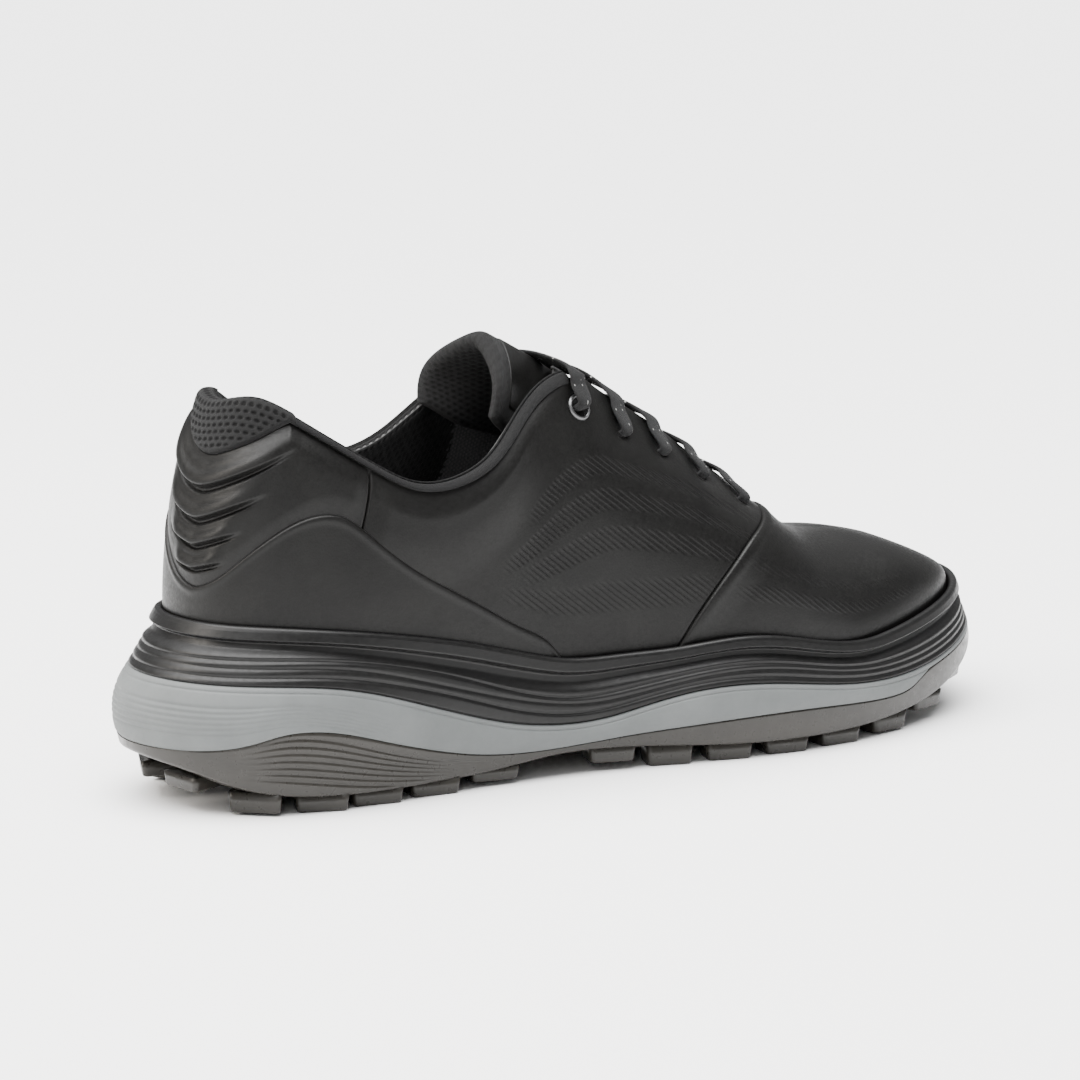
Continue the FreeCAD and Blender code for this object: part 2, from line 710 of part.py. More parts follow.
def build_rear():
    """Pieces that wrap round the heel from the medial to the lateral side."""

    def foxing(a, b):
        t = -FOXING_END + 2 * FOXING_END * a
        high = max(foxing_top(t) - SEAM_HEIGHT, -0.6)
        return t, -1 + (high + 1) * b

    def panel(a, b):
        t = -PANEL_FRONT + 2 * PANEL_FRONT * a
        low = foxing_top(t) + SEAM_HEIGHT
        high = min(tab_bottom(t) - SEAM_HEIGHT, 1.0)
        return t, low + (high - low) * b

    def tab(a, b):
        t = TAB_MEDIAL_END + (TAB_LATERAL_END - TAB_MEDIAL_END) * a
        low = min(tab_bottom(t) + SEAM_HEIGHT, 0.985)
        return t, low + (1 - low) * b

    counter_top = 0.42

    def counter(a, b):
        t = -4.2 + 8.4 * a
        high = counter_top - 0.5 * smooth(abs(t), 3.0, 4.2)
        return t, -0.95 + (high + 0.95) * b

    def foam(a, b):
        t = -4.9 + 9.8 * a
        low = counter_top + 0.05 - 0.2 * smooth(abs(t), 3.0, 4.2)
        return t, low + (0.99 - low) * b

    def lining(a, b):
        t = (-LINING_SPLIT + 0.03) + 2 * (LINING_SPLIT - 0.03) * a
        return t, -1 + 2 * b

    deep = LEATHER + GAP
    return {
        "heel_foxing": sheet_between(foxing, 0.0, LEATHER, 41, 8),
        "heel_collar_panel": sheet_between(panel, 0.0, LEATHER, 33, 9),
        "heel_tab": sheet_between(tab, 0.0, LEATHER, 15, 5),
        "heel_counter": sheet_between(counter, deep, deep + STIFFENER, 35, 10),
        "collar_foam": sheet_between(foam, deep, lambda t, v: lining_depth(t, v) - GAP, 41, 8),
        "collar_lining": sheet_between(
            lining, lining_depth, lambda t, v: lining_depth(t, v) + LINING, 43, 15
        ),
    }


BINDING_END = 5.44
BINDING = 1.1


def build_binding():
    """Rounded binding that caps the collar's layers along the top line."""

    def grid(lift):
        result = []
        for t in steps(-BINDING_END, BINDING_END, 53):
            point, normal, up = upper_frame(t, 1.0)
            depth = lining_depth(t, 1.0) + LINING
            line = []
            for b in steps(0, 1, 7):
                crown = 0.3 + 1.5 * math.sin(math.pi * b)
                spread = -normal * (depth * b) + normal * (lift * math.cos(math.pi * b))
                line.append(point + spread + up * (crown + lift * math.sin(math.pi * b)))
            result.append(line)
        return result

    return {"collar_binding": thick_sheet(grid(BINDING), grid(0.0))}


# ---------------------------------------------------------------- tongue
tongue_y = spline([(r[0], r[1]) for r in TONGUE])
tongue_z = spline([(r[0], r[2]) for r in TONGUE])
tongue_half = spline([(r[0], r[3]) for r in TONGUE])
tongue_drop = spline([(r[0], r[4]) for r in TONGUE])


EAR_START = 0.72          # from here to its top the tongue opens into two ears
RIDGE = 0.12              # how softly its middle is folded there, as a share of its half width


def tongue_section(u, w):
    """x and drop of the tongue's outer face: a rounded arch lower down and a soft tent with ears at the top."""
    ear = smooth(u, EAR_START, 1.0)
    side = abs(w)
    ridge = math.hypot(side, RIDGE) - RIDGE
    x = tongue_half(u) * (w * (1 - ear) + math.sin(math.pi / 2 * w) * ear)
    drop = tongue_drop(u) * (side**1.65 * (1 - ear) + (0.85 * ridge + 0.25 * side**4) * ear)
    return x, drop


def tongue_point(u, w, depth):
    """A point of the tongue: u from its base to its top, w from -1 to 1 across, depth below its outer face."""
    e = 0.01
    u = u * (1 - 0.035 * abs(w) ** 5)
    ty = tongue_y(u + e) - tongue_y(u - e)
    tz = tongue_z(u + e) - tongue_z(u - e)
    length = math.hypot(ty, tz)
    normal = V(0, tz / length, -ty / length)
    x, drop = tongue_section(u, w)
    x_ahead, drop_ahead = tongue_section(u, w + e)
    x_behind, drop_behind = tongue_section(u, w - e)
    side = V(drop_ahead - drop_behind, 0, 0) + normal * (x_ahead - x_behind)
    side.normalize()
    return V(x, tongue_y(u), tongue_z(u)) - normal * drop - side * depth


def tongue_layer(outer, inner, trim=0.0, start=0.0, end=1.0):
    """One layer of the tongue between two depths, trimmed a little at its edges."""

    def grid(depth):
        return [
            [tongue_point(u, w * (1 - trim), depth) for w in steps(-1, 1, 25)] for u in steps(start, end, 16)
        ]

    return thick_sheet(grid(outer), grid(inner))


def build_tongue():
    foam_top = TONGUE_COVER + 0.05
    foam_low = foam_top + TONGUE_FOAM
    label_low = foam_low + 0.05 + TONGUE_LINING

    def label_grid(depth):
        return [[tongue_point(u, w, depth) for w in steps(-0.3, 0.3, 5)] for u in steps(0.52, 0.64, 5)]

    return {
        "tongue_cover": tongue_layer(0.0, TONGUE_COVER),
        "tongue_foam": tongue_layer(foam_top, foam_low, 0.08, 0.12, 0.97),
        "tongue_lining": tongue_layer(foam_low + 0.05, label_low),
        "tongue_label": thick_sheet(label_grid(label_low + 0.03), label_grid(label_low + LABEL)),
    }


# ---------------------------------------------------------------- laces and eyelets
LACE_AIR = 0.45          # between the lace and the surface that it lies on
CROWN_AIR = 0.5          # more of it over the middle of the tongue
LACE_DEPTH = LEATHER + STIFFENER + LINING + 2 * GAP + LACE_AIR + LACE_THICKNESS / 2
LACE_LIFT = LACE_THICKNESS / 2 + LACE_AIR
EYELET_STEP = 1.3        # how much higher a strand leaves an eyelet's ring than a plain hole
FOLD_AT_HOLE = 0.6       # how far past its hole a strand lies flat on the leather
EYESTAY_EDGE = 0.995     # rib height of the eyestay's edge
CROSSING = LACE_THICKNESS + 0.1


def lace_end(side, row):
    """A strand's start, out of its hole and up to the eyestay's edge: (point, facing, width)."""
    s, v = LACE_ROWS[row]
    step = EYELET_STEP if row == 0 else 0
    hole, normal, up = upper_frame(side * s, v)
    line = [
        (hole - normal * LACE_DEPTH, up, LACE_GATHERED),
        (hole - normal * 1.0, up, LACE_GATHERED),
        (hole + normal * (LACE_LIFT + step * 0.8) + up * FOLD_AT_HOLE, normal - up * 0.5, LACE_GATHERED),
    ]
    for q in (0.4, 0.7, 1.0):
        point, n, _ = upper_frame(side * s, v + (EYESTAY_EDGE - v) * q)
        line.append((point + n * (LACE_LIFT + step * (1 - q)), n, LACE_WIDTH))
    return line


def lace_tuck(side, row):
    """A strand's finish, under the eyestay's edge and down to the underside of its hole."""
    s, v = LACE_ROWS[row]
    line = []
    for q in (0.9, 0.45, 0.0):
        point, n, _ = upper_frame(side * s, v + (EYESTAY_EDGE - v) * q)
        line.append((point - n * LACE_DEPTH, n, LACE_WIDTH if q else LACE_GATHERED))
    return line


def tongue_crown(y, height):
    """The point over the middle of the tongue at y."""
    low, high = 0.0, 1.0
    for _ in range(30):
        u = (low + high) / 2
        if tongue_y(u) > y:
            low = u
        else:
            high = u
    return tongue_point(u, 0, -height)


def strand(start, finish, height):
    """The lace from one side to the other, over the tongue's crown at a height above it."""
    first, first_facing, _ = start[-1]
    last, last_facing, _ = finish[0]
    crown = tongue_crown((first.y + last.y) / 2, LACE_LIFT + CROWN_AIR + height)
    chord = (first + last) * 0.5
    facing = first_facing + last_facing
    facing.normalize()
    bow = max((crown - chord).dot(facing), 0.4)
    middle = []
    for q in (0.25, 0.5, 0.75):
        rise = facing * (bow * math.sin(math.pi * q))
        middle.append((first * (1 - q) + last * q + rise, facing, LACE_WIDTH))
    return start + middle + finish


def ribbon(route):
    """A flat lace along a route of (point, facing, width)."""
    top_grid = []
    low_grid = []
    last = len(route) - 1
    previous = None
    for i, (point, facing, width) in enumerate(route):
        direction = route[min(i + 1, last)][0] - route[max(i - 1, 0)][0]
        direction.normalize()
        across = direction.cross(facing)
        across.normalize()
        if previous is not None and across.dot(previous) < 0:
            across = across * -1
        previous = across
        face = across.cross(direction)
        half = width / 2
        offsets = (-half, -half / 2, 0, half / 2, half)
        top_grid.append([point + across * k + face * (LACE_THICKNESS / 2) for k in offsets])
        low_grid.append([point + across * k - face * (LACE_THICKNESS / 2) for k in offsets])
    return thick_sheet(top_grid, low_grid)


def lace_routes():
    """A straight bar between the top eyelets, crossed strands below it and a tucked bar at the bottom."""
    last = len(LACE_ROWS) - 1
    routes = [strand(lace_end(1, 0), list(reversed(lace_end(-1, 0))), 0)]
    for row in range(1, last + 1):
        routes.append(strand(lace_end(1, row), lace_tuck(-1, row - 1), CROSSING))
        routes.append(strand(lace_end(-1, row), lace_tuck(1, row - 1), 0))
    routes.append(strand(list(reversed(lace_tuck(1, last))), lace_tuck(-1, last), 0))
    return routes


def build_laces():
    pieces = [ribbon(route) for route in lace_routes()]
    lace = pieces[0].fuse(pieces[1:])
    rings = []
    s, v = LACE_ROWS[0]
    for side in (1, -1):
        flange = eyelet_cylinder(side * s, v, EYELET_OUTER, 0.1, 0.9)
        barrel = eyelet_cylinder(side * s, v, EYELET_HOLE, -1.3, 0.9)
        bore = eyelet_cylinder(side * s, v, EYELET_HOLE - 0.45, -9, 6)
        rings.append(flange.fuse(barrel).cut(bore))
    return {"lace": lace, "top_eyelets": Part.makeCompound(rings)}


# ---------------------------------------------------------------- export
def sole_extents():
    """Layout x and y range of the sole's widest outline."""
    stations = steps(-11, 11, 881)
    spots = [feather(t, flare(t)) for t in stations]
    xs = [p[0] for p in spots]
    ys = [p[1] for p in spots]
    return min(xs), max(xs), min(ys), max(ys)


def main():
    os.makedirs("parts", exist_ok=True)
    parts = {}
    parts.update(build_sole())
    parts.update(build_footbed())
    parts.update(build_forefoot())
    parts.update(build_quarters())
    parts.update(build_rear())
    parts.update(build_binding())
    parts.update(build_tongue())
    parts.update(build_laces())
    x0, x1, y0, y1 = sole_extents()
    shift = V(-(x0 + x1) / 2, -(y0 + y1) / 2, 0)
    print("layout to part frame:", shift)
    for name, shape in parts.items():
        placed = shape.copy()
        placed.translate(shift)
        solids = placed.Solids
        print(name, "solids", len(solids), "valid", placed.isValid(), "volume", round(placed.Volume / 1000, 2))
        body = solids[0] if len(solids) == 1 else Part.makeCompound(solids)
        body.exportStep("parts/" + name + ".step")


main()
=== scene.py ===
"""Looks of the golf shoe: leather, mesh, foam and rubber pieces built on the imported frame.

The shapes come from the same tables as the part's source: millimetres in a layout frame whose y starts at the
heel's rearmost point. place_in_frame() turns them into metres in the part's own frame.
A point of the upper has a station t (0 at the middle of the heel, 11 at the toe, positive on the lateral side)
and a rib height v (0 at the sole's lip, 1 at the top line).
"""

import math

import bmesh
import bpy
import numpy as np
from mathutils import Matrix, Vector


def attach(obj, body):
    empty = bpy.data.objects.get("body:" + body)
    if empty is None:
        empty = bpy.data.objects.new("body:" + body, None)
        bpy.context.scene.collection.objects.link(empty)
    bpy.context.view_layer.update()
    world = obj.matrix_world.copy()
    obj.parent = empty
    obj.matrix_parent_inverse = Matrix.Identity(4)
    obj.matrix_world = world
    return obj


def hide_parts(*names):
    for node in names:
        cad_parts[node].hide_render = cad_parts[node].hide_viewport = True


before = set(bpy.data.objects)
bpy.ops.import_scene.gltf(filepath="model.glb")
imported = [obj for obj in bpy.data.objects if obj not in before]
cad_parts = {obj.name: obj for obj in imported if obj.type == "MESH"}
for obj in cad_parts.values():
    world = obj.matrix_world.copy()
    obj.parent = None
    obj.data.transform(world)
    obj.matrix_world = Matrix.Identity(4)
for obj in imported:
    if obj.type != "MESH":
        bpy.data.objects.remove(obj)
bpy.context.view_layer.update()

# ---------------------------------------------------------------- driving tables, as in the part's source
LEATHER = 1.4
GAP = 0.2
STIFFENER = 1.6
LINING = 0.9
COLLAR_SWELL = 2.4
LIP_WALL = 2.6
LACE_WIDTH = 6.4
LACE_GATHERED = 4.8
LACE_THICKNESS = 1.5
LACE_ROWS = [(5.545, 0.887), (6.0, 0.86), (6.40, 0.846), (6.865, 0.829), (7.32, 0.79)]
EYELET_OUTER = 4.2
EYELET_HOLE = 3.4
TOE_END = 10.96
PANEL_FRONT = 2.82
FOXING_END = 5.35
BACK_TIP = 0.45
TAB_MEDIAL_END = -1.05
TAB_LATERAL_END = 1.75
OUTSOLE_SKIN = 3.2

FEATHER = [
    (0, 0, 20, 0, 20), (1, 17, 24.5, -17, 24.5), (2, 28, 38, -27.5, 38), (3, 33.5, 60, -33, 59),
    (4, 34.5, 92, -34, 88), (5, 36, 126, -35, 118), (6, 41.5, 160, -39, 150), (7, 47.5, 192, -44.5, 185),
    (8, 47, 226, -47, 222), (9, 38.5, 258.5, -43, 257), (10, 22.5, 285, -30, 285.5), (11, -5, 298.5, -5, 298.5),
]
TOP = [
    (0, 0, 32, 115, 0, 32, 115), (1, 15, 37, 116.5, -15, 37, 116.5), (2, 25, 51, 108.5, -24.5, 51, 109),
    (3, 30.5, 70, 96, -30, 70, 97), (4, 33, 92, 90.5, -32, 92, 92.5), (4.5, 32, 107.5, 97, -31, 106, 98.5),
    (5, 27.2, 121, 109.8, -26.5, 119.5, 110.5), (5.3, 24.2, 130, 116.4, -23.4, 128.5, 116.8),
    (5.55, 21, 140.5, 118.3, -20.2, 139, 118.3), (5.8, 18.3, 149.8, 113.6, -17.5, 148.3, 113.6),
    (6, 16.6, 157.2, 109.3, -15.8, 155.5, 109.3), (6.5, 14, 175, 99.2, -13.5, 173, 99.2),
    (7, 11.5, 191, 88.4, -11.5, 189, 88.4), (7.6, 7.5, 211, 74.8, -8.5, 210, 74.8),
    (8, 0, 226, 64.5, 0, 226, 64.5), (9, -2, 256, 57.5, -2, 256, 57.5), (10, -4, 282, 50, -4, 282, 50),
    (10.6, -5, 292.5, 44.5, -5, 292.5, 44.5), (11, -5, 298.5, 41, -5, 298.5, 41),
]
RIB = [
    (0, 0.30, 0.30, 62), (2, 0.32, 0.32, 72), (4, 0.36, 0.36, 88), (5, 0.42, 0.40, 76), (6, 0.52, 0.48, 50),
    (7, 0.58, 0.52, 30), (7.6, 0.60, 0.54, 14), (8, 0.62, 0.56, 0), (9, 0.70, 0.60, 0), (11, 0.74, 0.62, 0),
]
LIP = [
    (10, 53.5), (24, 53.5), (40, 52.5), (60, 50), (80, 46.5), (97, 42.8), (118, 37.2), (128, 35.2), (146, 34.9),
    (163, 35.4), (183, 37), (197, 36), (211, 33.2), (223, 31.2), (233, 30.8), (243, 31.8), (260, 34.4),
    (275, 37), (290, 39.4), (304, 41),
]
FLOOR = [(10, 42.5), (60, 41.5), (100, 37), (140, 31.5), (180, 28.6), (220, 26), (250, 26.6), (275, 30), (304, 34)]
BLACK_GREY = [
    (-2, 43.5), (8, 40.8), (18, 39), (33, 37.8), (50, 36), (64, 32.6), (78, 28), (93, 23), (108, 18.8), (124, 16.5),
    (140, 17), (154, 19.8), (168, 22.4), (183, 23.4), (198, 22.4), (221, 19.4), (234, 18.6), (249, 19), (267, 21.5),
    (280, 24.5), (292, 27.5), (306, 31.5),
]
GREY_SMOKE = [
    (-2, 26.8), (5, 25.6), (12, 22), (18, 20), (24, 19.9), (31, 21.7), (37, 24), (43, 24.6), (52, 23.2), (63, 19.8),
    (77, 15.5), (92, 11.8), (107, 9.7), (124, 9.4), (148, 11), (168, 12.3), (187, 13.4), (208, 13.7), (227, 13),
    (241, 12.8), (249, 14.2), (255, 17.2), (264, 19.8), (280, 23.2), (292, 26.2), (306, 30.2),
]
BASE = [
    (-2, 19.5), (7, 15.5), (12, 13.4), (19, 10), (27, 7.2), (42, 5), (56, 4.3), (80, 4.2), (95, 4.4), (108, 5.4),
    (122, 7), (139, 7.4), (155, 6.6), (172, 5.4), (190, 4.6), (214, 4.5), (237, 5.4), (251, 6.8), (262, 8.6),
    (276, 12.6), (290, 18.6), (300, 25), (306, 29),
]
LUG_FOOT = [
    (-2, 16), (8, 12), (20, 5.5), (30, 1.2), (36, 0), (92, 0), (104, 1.6), (122, 3.2), (140, 3), (152, 1.4),
    (160, 0), (236, 0), (252, 2), (264, 4.6), (276, 8.4), (290, 14.4), (306, 25),
]
FLARE = [
    (-11, 9), (-9, 6.5), (-7.5, 5.8), (-5, 5), (-3, 7.5), (-2, 10), (-1, 14), (0, 17.8), (1, 14), (2, 10),
    (3, 7), (5, 4.6), (7.5, 6), (9, 7), (11, 9),
]
WALL_PROFILE = [
    (0, 0.56), (0.14, 0.72), (0.26, 0.86), (0.38, 0.97), (0.5, 1.0), (0.62, 0.9), (0.74, 0.64), (0.86, 0.34),
    (1.0, 0.0),
]
VAMP_SEAM = [(-1, 5.2), (0, 6.15), (0.12, 6.42), (0.23, 6.65), (0.45, 7.03), (0.66, 7.38), (0.85, 7.62), (1, 7.8)]
FOXING_BORDER = [
    (-0.6, 0.19), (0, 0.17), (0.4, 0.205), (0.91, 0.31), (1.37, 0.43), (1.71, 0.52), (2.1, 0.60), (2.5, 0.635),
    (2.81, 0.61), (3.43, 0.48), (3.9, 0.34), (4.23, 0.23), (4.65, 0.11), (5.03, 0.0), (5.25, -0.25),
    (5.45, -0.7), (5.65, -0.96), (5.9, -1.0), (6.4, -1.0),
]
TAB_BORDER = [(-0.5, 0.76), (0, 0.745), (0.5, 0.785), (0.9, 0.86), (1.33, 0.97), (1.6, 1.03)]
# u, y and z of the middle line, half width, drop of the edges
TONGUE = [
    (0.0, 221, 59.5, 9, 2.5), (0.2, 199, 78.0, 16, 10), (0.45, 173, 96.5, 19.5, 16), (0.7, 148.5, 114.5, 19, 21.5),
    (0.86, 134.0, 123.4, 18, 26), (0.93, 127.4, 126.9, 20.5, 25.5), (1.0, 120.8, 130.3, 27, 25),
]
TONGUE_PAD = 5.7


# ---------------------------------------------------------------- curves
def spline(points):
    """Natural cubic spline through (x, y) points, as a function of x that takes arrays."""
    xs, ys = np.array(points, float).T
    n = len(xs)
    h = np.diff(xs)
    a = np.eye(n)
    rhs = np.zeros(n)
    for i in range(1, n - 1):
        a[i, i - 1 : i + 2] = h[i - 1], 2 * (h[i - 1] + h[i]), h[i]
        rhs[i] = 6 * ((ys[i + 1] - ys[i]) / h[i] - (ys[i] - ys[i - 1]) / h[i - 1])
    m = np.linalg.solve(a, rhs)

    def value(x):
        x = np.clip(x, xs[0], xs[-1])
        i = np.clip(np.searchsorted(xs, x, side="right") - 1, 0, n - 2)
        p = xs[i + 1] - x
        q = x - xs[i]
        return (
            (m[i] * p**3 + m[i + 1] * q**3) / (6 * h[i])
            + (ys[i] / h[i] - m[i] * h[i] / 6) * p
            + (ys[i + 1] / h[i] - m[i + 1] * h[i] / 6) * q
        )

    return value


def both_sides(rows, lateral, medial, around_toe=False):
    """A spline over signed stations: medial rows at negative stations, lateral rows at positive ones."""
    points = [(-r[0], r[medial]) for r in reversed(rows)] + [(r[0], r[lateral]) for r in rows[1:]]
    if around_toe:
        before = [(-22 + r[0], r[lateral]) for r in (rows[-3], rows[-2])]
        after = [(22 - r[0], r[medial]) for r in (rows[-2], rows[-3])]
        points = before + points + after
    return spline(points)


feather_x = both_sides(FEATHER, 1, 3, True)
feather_y = both_sides(FEATHER, 2, 4, True)
top_x = both_sides(TOP, 1, 4)
top_y = both_sides(TOP, 2, 5)
top_z = both_sides(TOP, 3, 6)
lip_z = spline(LIP)
floor_z = spline(FLOOR)
black_grey_z = spline(BLACK_GREY)
grey_smoke_z = spline(GREY_SMOKE)
base_z = spline(BASE)
lug_z = spline(LUG_FOOT)
flare = spline(FLARE)
wall_share = spline(WALL_PROFILE)
pull_low = spline([(r[0], r[1]) for r in RIB])
pull_top = spline([(r[0], r[2]) for r in RIB])
top_angle = spline([(r[0], r[3]) for r in RIB])
vamp_seam = spline(VAMP_SEAM)
foxing_border = spline(FOXING_BORDER)
tab_border = spline(TAB_BORDER)
tongue_y = spline([(r[0], r[1]) for r in TONGUE])
tongue_z = spline([(r[0], r[2]) for r in TONGUE])
tongue_half = spline([(r[0], r[3]) for r in TONGUE])
tongue_drop = spline([(r[0], r[4]) for r in TONGUE])


def smooth(x, low, high):
    """0 at low, 1 at high, and an S-curve between; low may be the larger."""
    t = np.clip((x - low) / (high - low), 0.0, 1.0)
    return t * t * (3 - 2 * t)


def unit(v):
    return v / np.maximum(np.linalg.norm(v, axis=-1, keepdims=True), 1e-9)


def points(x, y, z):
    return np.stack(np.broadcast_arrays(x, y, z), -1).astype(float)


def feather(t, offset=0.0):
    """x and y of the feather line at station t, moved outwards by offset."""
    e = 0.02
    dx = feather_x(t + e) - feather_x(t - e)
    dy = feather_y(t + e) - feather_y(t - e)
    length = np.hypot(dx, dy)
    return feather_x(t) + offset * dy / length, feather_y(t) - offset * dx / length


def upper(t, v):
    """The upper's outer surface at station t and rib height v."""
    t, v = np.broadcast_arrays(np.asarray(t, float), np.asarray(v, float))
    x, y = feather(t)
    low = lip_z(y)
    s = np.abs(t)
    foot = points(x, y, low)
    top = points(top_x(t), top_y(t), np.maximum(top_z(t), low + 0.5))
    rise = top[..., 2] - low
    reach = np.hypot(top[..., 0] - x, top[..., 1] - y)
    back = smooth(s, 6.5, 4.5)
    in_x, in_y = feather(t, -1)
    zero = np.zeros_like(x)
    inward = points((in_x - x) * back - np.sign(t) * (1 - back), (in_y - y) * back, zero)
    inward = unit(inward)
    angle = np.radians(top_angle(s))
    arm = reach * np.cos(angle) + rise * np.sin(angle)
    p1 = foot + points(zero, zero, pull_low(s) * rise)
    lean = inward * np.cos(angle)[..., None] + points(zero, zero, np.sin(angle))
    p2 = top - lean * (pull_top(s) * arm)[..., None]
    q = np.maximum(v, 0)[..., None]
    w = 1 - q
    curve = foot * w**3 + p1 * (3 * w * w * q) + p2 * (3 * w * q * q) + top * q**3
    sink = np.minimum(v, 0) * (low - floor_z(y))
    return curve + points(zero, zero, sink)


def upper_frame(t, v):
    """The surface point, its outward normal and the direction up the rib."""
    e = 0.004
    t, v = np.broadcast_arrays(np.asarray(t, float), np.asarray(v, float))
    t0 = np.clip(t, -10.97, 10.97)
    v0 = np.minimum(v, 1 - e)
    along = upper(t0 + e, v0) - upper(t0 - e, v0)
    up = upper(t0, v0 + e) - upper(t0, v0 - e)
    return upper(t, v), unit(np.cross(along, up)), unit(up)


def wall_depth(t, v):
    """Thickness of the upper's wall at the collar, to the lining's inner face."""
    rear = smooth(np.abs(t), 5.5, 4.9)
    return LEATHER + STIFFENER + 2 * GAP + COLLAR_SWELL * smooth(v, 0.35, 0.8) * rear + LINING


def from_tip(t):
    """Distance in stations from the tips of the panels at the back of the heel."""
    return np.abs(t - BACK_TIP * smooth(np.abs(t), 3.0, 0.8))


def wall_offset(t, z):
    """How far the sole's outer wall stands out of the feather line at station t and height z."""
    share = wall_share(np.clip(z / lip_z(feather_y(t)), 0, 1))
    return LIP_WALL + (flare(t) - LIP_WALL) * share


STATIONS = np.linspace(-11, 11, 8801)
rim_x, rim_y = feather(STATIONS, flare(STATIONS))
SHIFT = np.array([-(rim_x.min() + rim_x.max()) / 2, -(rim_y.min() + rim_y.max()) / 2, 0.0])
MM = 0.001


def place_in_frame(p):
    return (np.asarray(p) + SHIFT) * MM


# ---------------------------------------------------------------- materials
class Look:
    """A node material with a Principled shader and short names for adding nodes."""

    def __init__(self, name, color, roughness, **sockets):
        self.material = bpy.data.materials.new(name)
        self.material.use_nodes = True
        self.tree = self.material.node_tree
        self.shader = self.tree.nodes["Principled BSDF"]
        self.shader.inputs["Base Color"].default_value = (*color, 1)
        self.shader.inputs["Roughness"].default_value = roughness
        for key, value in sockets.items():
            self.shader.inputs[key.replace("_", " ")].default_value = value
        self.height = None

    def node(self, kind, inputs=(), **settings):
        made = self.tree.nodes.new(kind)
        for key, value in settings.items():
            setattr(made, key, value)
        for key, value in dict(inputs).items():
            if isinstance(value, bpy.types.NodeSocket):
                self.tree.links.new(value, made.inputs[key])
            else:
                made.inputs[key].default_value = value
        return made

    def math(self, operation, a, b):
        return self.node("ShaderNodeMath", {0: a, 1: b}, operation=operation).outputs[0]

    def object_place(self, scale=(1, 1, 1), turn=(0, 0, 0)):
        place = self.node("ShaderNodeTexCoord").outputs["Object"]
        inputs = {"Vector": place, "Scale": scale, "Rotation": turn}
        return self.node("ShaderNodeMapping", inputs).outputs["Vector"]

    def cloth_place(self, turn, scale=(1, 1, 1)):
        """Millimetres along and across the piece."""
        place = self.node("ShaderNodeUVMap", uv_map="cloth").outputs["UV"]
        inputs = {"Vector": place, "Scale": scale, "Rotation": (0, 0, turn)}
        return self.node("ShaderNodeMapping", inputs).outputs["Vector"]

    def noise(self, place, scale, detail=2.0, roughness=0.5):
        inputs = {"Vector": place, "Scale": scale, "Detail": detail, "Roughness": roughness}
        return self.node("ShaderNodeTexNoise", inputs).outputs["Fac"]

    def cells(self, place, scale, randomness=1.0):
        inputs = {"Vector": place, "Scale": scale, "Randomness": randomness}
        return self.node("ShaderNodeTexVoronoi", inputs).outputs["Distance"]

    def waves(self, place, scale, distortion, direction="X"):
        inputs = {"Vector": place, "Scale": scale, "Distortion": distortion}
        return self.node("ShaderNodeTexWave", inputs, bands_direction=direction).outputs["Fac"]

    def threads(self, degrees, rate, distortion):
        """Two sets of threads that cross at a slant, as a pair of waves over the cloth."""
        turn = math.radians(degrees)
        return [self.waves(self.cloth_place(k), rate, distortion) for k in (turn, -turn)]

    def between(self, fac, low, high, start=0.3, end=0.7):
        """A colour ramp from low at start to high at end."""
        ramp = self.node("ShaderNodeValToRGB", {"Fac": fac})
        for element, position, color in zip(ramp.color_ramp.elements, (start, end), (low, high)):
            element.position = position
            element.color = (*color, 1)
        return ramp.outputs["Color"]

    def range(self, fac, low, high, start=0.3, end=0.7):
        inputs = {"Value": fac, "From Min": start, "From Max": end, "To Min": low, "To Max": high}
        return self.node("ShaderNodeMapRange", inputs).outputs["Result"]

    def color(self, source):
        self.tree.links.new(source, self.shader.inputs["Base Color"])

    def roughness(self, source):
        self.tree.links.new(source, self.shader.inputs["Roughness"])

    def bump(self, source, distance_mm, strength):
        """Adds a height on top of the bumps made so far."""
        inputs = {"Height": source, "Strength": strength, "Distance": distance_mm * MM}
        if self.height is not None:
            inputs["Normal"] = self.height
        self.height = self.node("ShaderNodeBump", inputs).outputs["Normal"]
        self.tree.links.new(self.height, self.shader.inputs["Normal"])


def leather_look():
    look = Look("black_leather", (0.008, 0.0078, 0.0075), 0.42, Specular_IOR_Level=0.19)
    place = look.object_place()
    patches = look.noise(place, 60, 4, 0.6)
    look.color(look.between(patches, (0.0022, 0.0021, 0.002), (0.0046, 0.0045, 0.0042)))
    grain = look.cells(place, 1500)
    pores = look.noise(place, 3200, 3, 0.6)
    look.roughness(look.range(look.noise(place, 900, 3, 0.7), 0.36, 0.52))
    look.bump(grain, 0.05, 0.35)
    look.bump(pores, 0.05, 0.35)
    look.bump(look.noise(place, 140, 2), 0.25, 0.25)
    # fine slanted lines pressed into the leather where the piece's "hatch" attribute says
    hatch = look.node("ShaderNodeAttribute", attribute_name="hatch").outputs["Fac"]
    lines = look.waves(look.object_place(turn=(math.radians(-52), 0, 0)), 210, 0.6, "Y")
    look.bump(look.math("MULTIPLY", look.range(lines, 0, 1, 0.35, 0.75), hatch), 0.22, 0.9)
    return look.material


def foam_look(name, low, high, roughness, grain_mm=0.05):
    look = Look(name, high, roughness, Specular_IOR_Level=0.27)
    place = look.object_place()
    look.color(look.between(look.noise(place, 45, 5, 0.6), low, high))
    look.roughness(look.range(look.noise(place, 700, 3, 0.6), roughness - 0.07, roughness + 0.08))
    look.bump(look.noise(place, 2600, 3, 0.6), grain_mm, 0.3)
    look.bump(look.cells(place, 900), grain_mm, 0.15)
    return look.material


